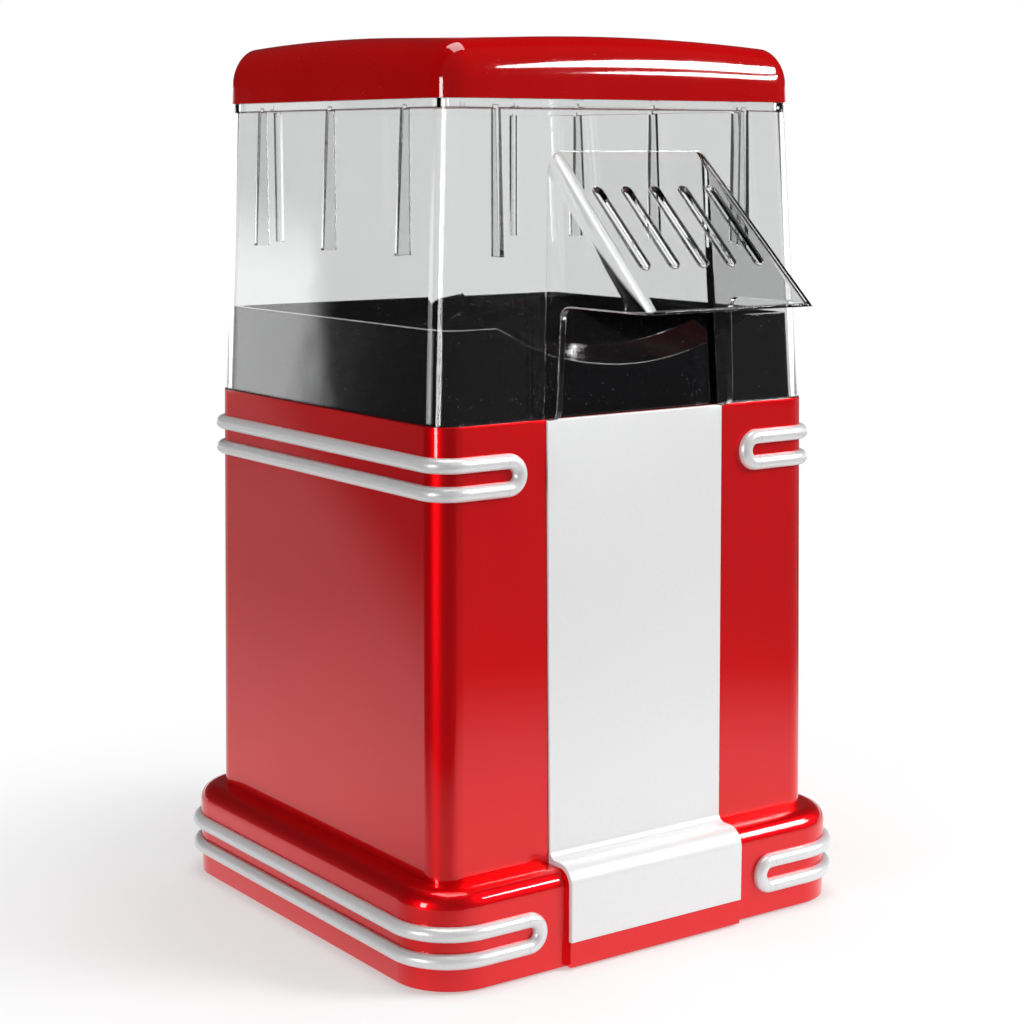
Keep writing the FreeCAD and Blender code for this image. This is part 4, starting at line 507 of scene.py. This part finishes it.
def coilPath():
    spots = []  # place, and the handles before and after it
    before = 0
    for i in range(coilShape["halves"]):
        way = -1 if i % 2 else 1
        middle = coilShape["step"] if i % 2 else 0
        radius = coilShape["first"] + coilShape["step"] * i
        pull = radius * coilShape["round"]
        spots.append(((middle + way * radius, 0), (0, -way * before), (0, way * pull)))
        spots.append(((middle, way * radius), (way * pull, 0), (-way * pull, 0)))
        before = pull
    spots.append(((middle - way * radius, 0), (0, way * before), (0, -way * before)))
    path = bpy.data.curves.new("coilPath", "CURVE")
    path.dimensions = "3D"
    path.resolution_u = coilShape["pathSteps"]
    spline = path.splines.new("BEZIER")
    spline.bezier_points.add(len(spots) - 1)
    for point, (place, before, after) in zip(spline.bezier_points, spots):
        point.co = (*place, coilShape["level"])
        point.handle_left = (place[0] + before[0], place[1] + before[1], coilShape["level"])
        point.handle_right = (place[0] + after[0], place[1] + after[1], coilShape["level"])
    holder = bpy.data.objects.new("coilPath", path)
    bpy.context.scene.collection.objects.link(holder)
    return holder, spline.calc_length()


def makeCoil():
    path, length = coilPath()
    bm = bmesh.new()
    bmesh.ops.create_circle(bm, radius=coilShape["wire"] / 2, segments=coilShape["wireSides"])
    bmesh.ops.translate(bm, vec=(0, (coilShape["wound"] - coilShape["wire"]) / 2, 0), verts=bm.verts)
    straight = bpy.data.meshes.new("coilStraight")
    bm.to_mesh(straight)
    bm.free()
    holder = bpy.data.objects.new("coilStraight", straight)
    bpy.context.scene.collection.objects.link(holder)
    wind = holder.modifiers.new("wind", "SCREW")
    wind.axis, wind.screw_offset = "X", coilShape["pitch"]
    wind.iterations = int(length / coilShape["pitch"])
    wind.steps = wind.render_steps = coilShape["turnSides"]
    bend = holder.modifiers.new("bend", "CURVE")
    bend.object, bend.deform_axis = path, "POS_X"
    bent = bpy.data.meshes.new_from_object(holder.evaluated_get(bpy.context.evaluated_depsgraph_get()))
    bpy.data.objects.remove(holder)
    bpy.data.objects.remove(path)
    bm = bmesh.new()
    bm.from_mesh(bent)
    bmesh.ops.remove_doubles(bm, verts=bm.verts, dist=coilShape["wire"] / 100)
    bmesh.ops.holes_fill(bm, edges=[e for e in bm.edges if e.is_boundary])
    bmesh.ops.recalc_face_normals(bm, faces=bm.faces)
    return finishMesh(bm, "woundCoil", "heatingWire", "housing", "heater_coil")


makeCoil()
print("coil wound")


# lamps

white = (1, 1, 1, 1)
lamps = [  # name, shape, place, aim, width, height, turn, watts
    ("leftSoftbox", "RECTANGLE", (-1.28, -0.25, 0.28), (0, 0, 0.15), 0.25, 0.50, 0, 5.5),
    ("rightSoftbox", "ELLIPSE", (1.017, -0.901, 0.961), (0, 0, 0.25), 0.72, 0.26, 12, 14.5),
    ("lowSoftbox", "ELLIPSE", (1.10, -0.975, 0.704), (0, 0, 0.25), 0.66, 0.13, 12, 6.5),
    ("topSoftbox", "RECTANGLE", (0, -0.02, 1.4), (0, -0.02, 0), 0.70, 0.70, 0, 7.5),
]


def lookAt(thing, place, aim):
    thing.location = place
    thing.rotation_mode = "QUATERNION"
    thing.rotation_quaternion = (Vector(aim) - Vector(place)).to_track_quat("-Z", "Y")
    bpy.context.scene.collection.objects.link(thing)


def makeLamps():
    for name, shape, place, aim, width, height, turn, watts in lamps:
        lamp = bpy.data.lights.new(name, "AREA")
        lamp.shape = shape
        lamp.size, lamp.size_y = width, height
        lamp.energy = watts
        holder = bpy.data.objects.new(name, lamp)
        lookAt(holder, place, aim)
        holder.rotation_quaternion @= Quaternion((0, 0, 1), math.radians(turn))


def straightOn(tap):  # 1 for what is seen bare or straight through the hood
    seen = tap.add("ShaderNodeLightPath", out="Is Camera Ray")
    through = tap.add("ShaderNodeLightPath", out="Is Transmission Ray")
    mirrored = tap.add("ShaderNodeLightPath", out="Glossy Depth")
    return seen.most(through * (1 - mirrored.least(1.0)))


# room: white to the eye, an even dim light, and in mirrors dark but for the pale backdrop behind the object

room = {"ambient": 0.42, "dim": 0.03, "fill": 0.06, "fillFrom": (0.0, 0.3), "backdrop": 1.7,
        "heading": (0.578, 0.816), "spread": 2.235, "sideEdge": (-0.02, 0.03),
        "rise": 0.12, "topEdge": (-0.06, -0.01)}


def makeWorld():
    world = bpy.data.worlds.new("studioWorld")
    world.use_nodes = True
    world.node_tree.nodes.clear()
    bpy.context.scene.world = world
    tap = Tap(world.node_tree)
    across, along, upright = axes(tap, tap.add("ShaderNodeTexCoord", out="Generated"))
    glossy = tap.add("ShaderNodeLightPath", out="Is Glossy Ray")
    through = tap.add("ShaderNodeLightPath", out="Is Transmission Ray")
    right, ahead = room["heading"]
    depth, side = across * right + along * ahead, across * ahead - along * right
    behind = (depth * room["spread"] - abs(side)).ease(*room["sideEdge"])
    behind = behind * (1 - (upright - depth * room["rise"]).ease(*room["topEdge"]))
    fill = (-1 * along).ease(*room["fillFrom"]) * room["fill"] + room["dim"]
    mirrored = fill + behind * (room["backdrop"] - fill)
    strength = room["ambient"] + glossy.most(through) * (mirrored - room["ambient"])
    light = tap.add("ShaderNodeBackground", {}, {"Color": white, "Strength": strength})
    bare = tap.add("ShaderNodeBackground", {}, {"Color": white, "Strength": 1.0})
    both = tap.add("ShaderNodeMixShader", {}, {0: straightOn(tap), 1: light, 2: bare})
    tap.add("ShaderNodeOutputWorld", {}, {"Surface": both})


# table: round paper that fades to white; in mirrors the paper glows with painted light, a lit strip behind
# the object and a pool before it

paper = {"radius": 1.95, "segments": 96, "tone": (0.80, 0.80, 0.80, 1), "farPaintedShade": (0.10, 0.10, 0.10, 1),
         "toneEdge": (0.25, 0.95), "whiteEdge": (0.10, 0.30), "whiteLeast": 0.4,
         "stripSlope": 0.47, "stripHalf": 0.211, "stripEdge": (-0.03, 0.05),
         "stripGlow": 0.78, "stripLeast": 0.02,
         "fade": (0.15, 0.75), "fadeBy": 0.36, "farFade": (0.9, 1.5), "farFadeBy": 0.14,
         "pool": (0.28, 0.52), "poolBy": 0.80, "leftEdge": (0.04, 0.14), "leftBy": 0.55, "poolLeast": 0.08,
         "behindEdge": (-0.05, 0.15)}


def makeTable():
    bm = bmesh.new()
    bmesh.ops.create_circle(bm, cap_ends=True, radius=paper["radius"], segments=paper["segments"])
    mesh = bpy.data.meshes.new("table")
    bm.to_mesh(mesh)
    bm.free()
    table = bpy.data.objects.new("table", mesh)
    bpy.context.scene.collection.objects.link(table)
    material, tap, spot = newFinish("tablePaper")
    across, along = axes(tap, spot)[:2]
    away = fromMiddle(tap, across, along)
    # painted shade: the paper's colour darkens away from the object, as if the far floor lay unlit
    tone = tint(tap, away.ease(*paper["toneEdge"]), paper["tone"], paper["farPaintedShade"])
    lit = tap.add("ShaderNodeBsdfDiffuse", {}, {"Color": tone})
    blank = tap.add("ShaderNodeEmission", {}, {"Color": white, "Strength": 1.0})
    whiteness = away.ease(*paper["whiteEdge"]) * (1 - paper["whiteLeast"]) + paper["whiteLeast"]
    bare = tap.add("ShaderNodeMixShader", {}, {0: whiteness * straightOn(tap), 1: lit, 2: blank})
    # painted light: for mirror rays the paper glows; the strip, its fades and the pool shape that glow
    strip = (along * paper["stripSlope"] + paper["stripHalf"] - abs(across)).ease(*paper["stripEdge"])
    fade = away.ease(*paper["fade"]) * paper["fadeBy"]
    farFade = away.ease(*paper["farFade"]) * paper["farFadeBy"]
    far = strip * (paper["stripGlow"] - fade - farFade) + paper["stripLeast"]
    # painted shade: the painted pool of light is dimmer to the left of the object
    leftShade = (-1 * across).ease(*paper["leftEdge"]) * paper["leftBy"]
    near = (1 - away.ease(*paper["pool"]) * paper["poolBy"] - leftShade).most(paper["poolLeast"])
    behind = along.ease(*paper["behindEdge"])
    paintedGlow = tap.add("ShaderNodeEmission", {}, {"Color": white, "Strength": near + behind * (far - near)})
    mirrored = tap.add("ShaderNodeLightPath", out="Is Glossy Ray") * (1 - straightOn(tap))
    dress(tap, tap.add("ShaderNodeMixShader", {}, {0: mirrored, 1: bare, 2: paintedGlow}))
    mesh.materials.append(material)


view = {"place": (-0.4471, -0.6340, 0.2667), "forward": (0.5702, 0.8048, -0.1647),
        "lens": 76.95, "sensor": 36}


def makeCamera():
    camera = bpy.data.cameras.new("camera")
    camera.lens, camera.sensor_width = view["lens"], view["sensor"]
    holder = bpy.data.objects.new("camera", camera)
    place = Vector(view["place"])
    lookAt(holder, place, place + Vector(view["forward"]))
    bpy.context.scene.camera = holder


makeLamps()
makeWorld()
makeTable()
makeCamera()
bpy.context.scene.view_settings.view_transform = "Standard"
print("studio ready")
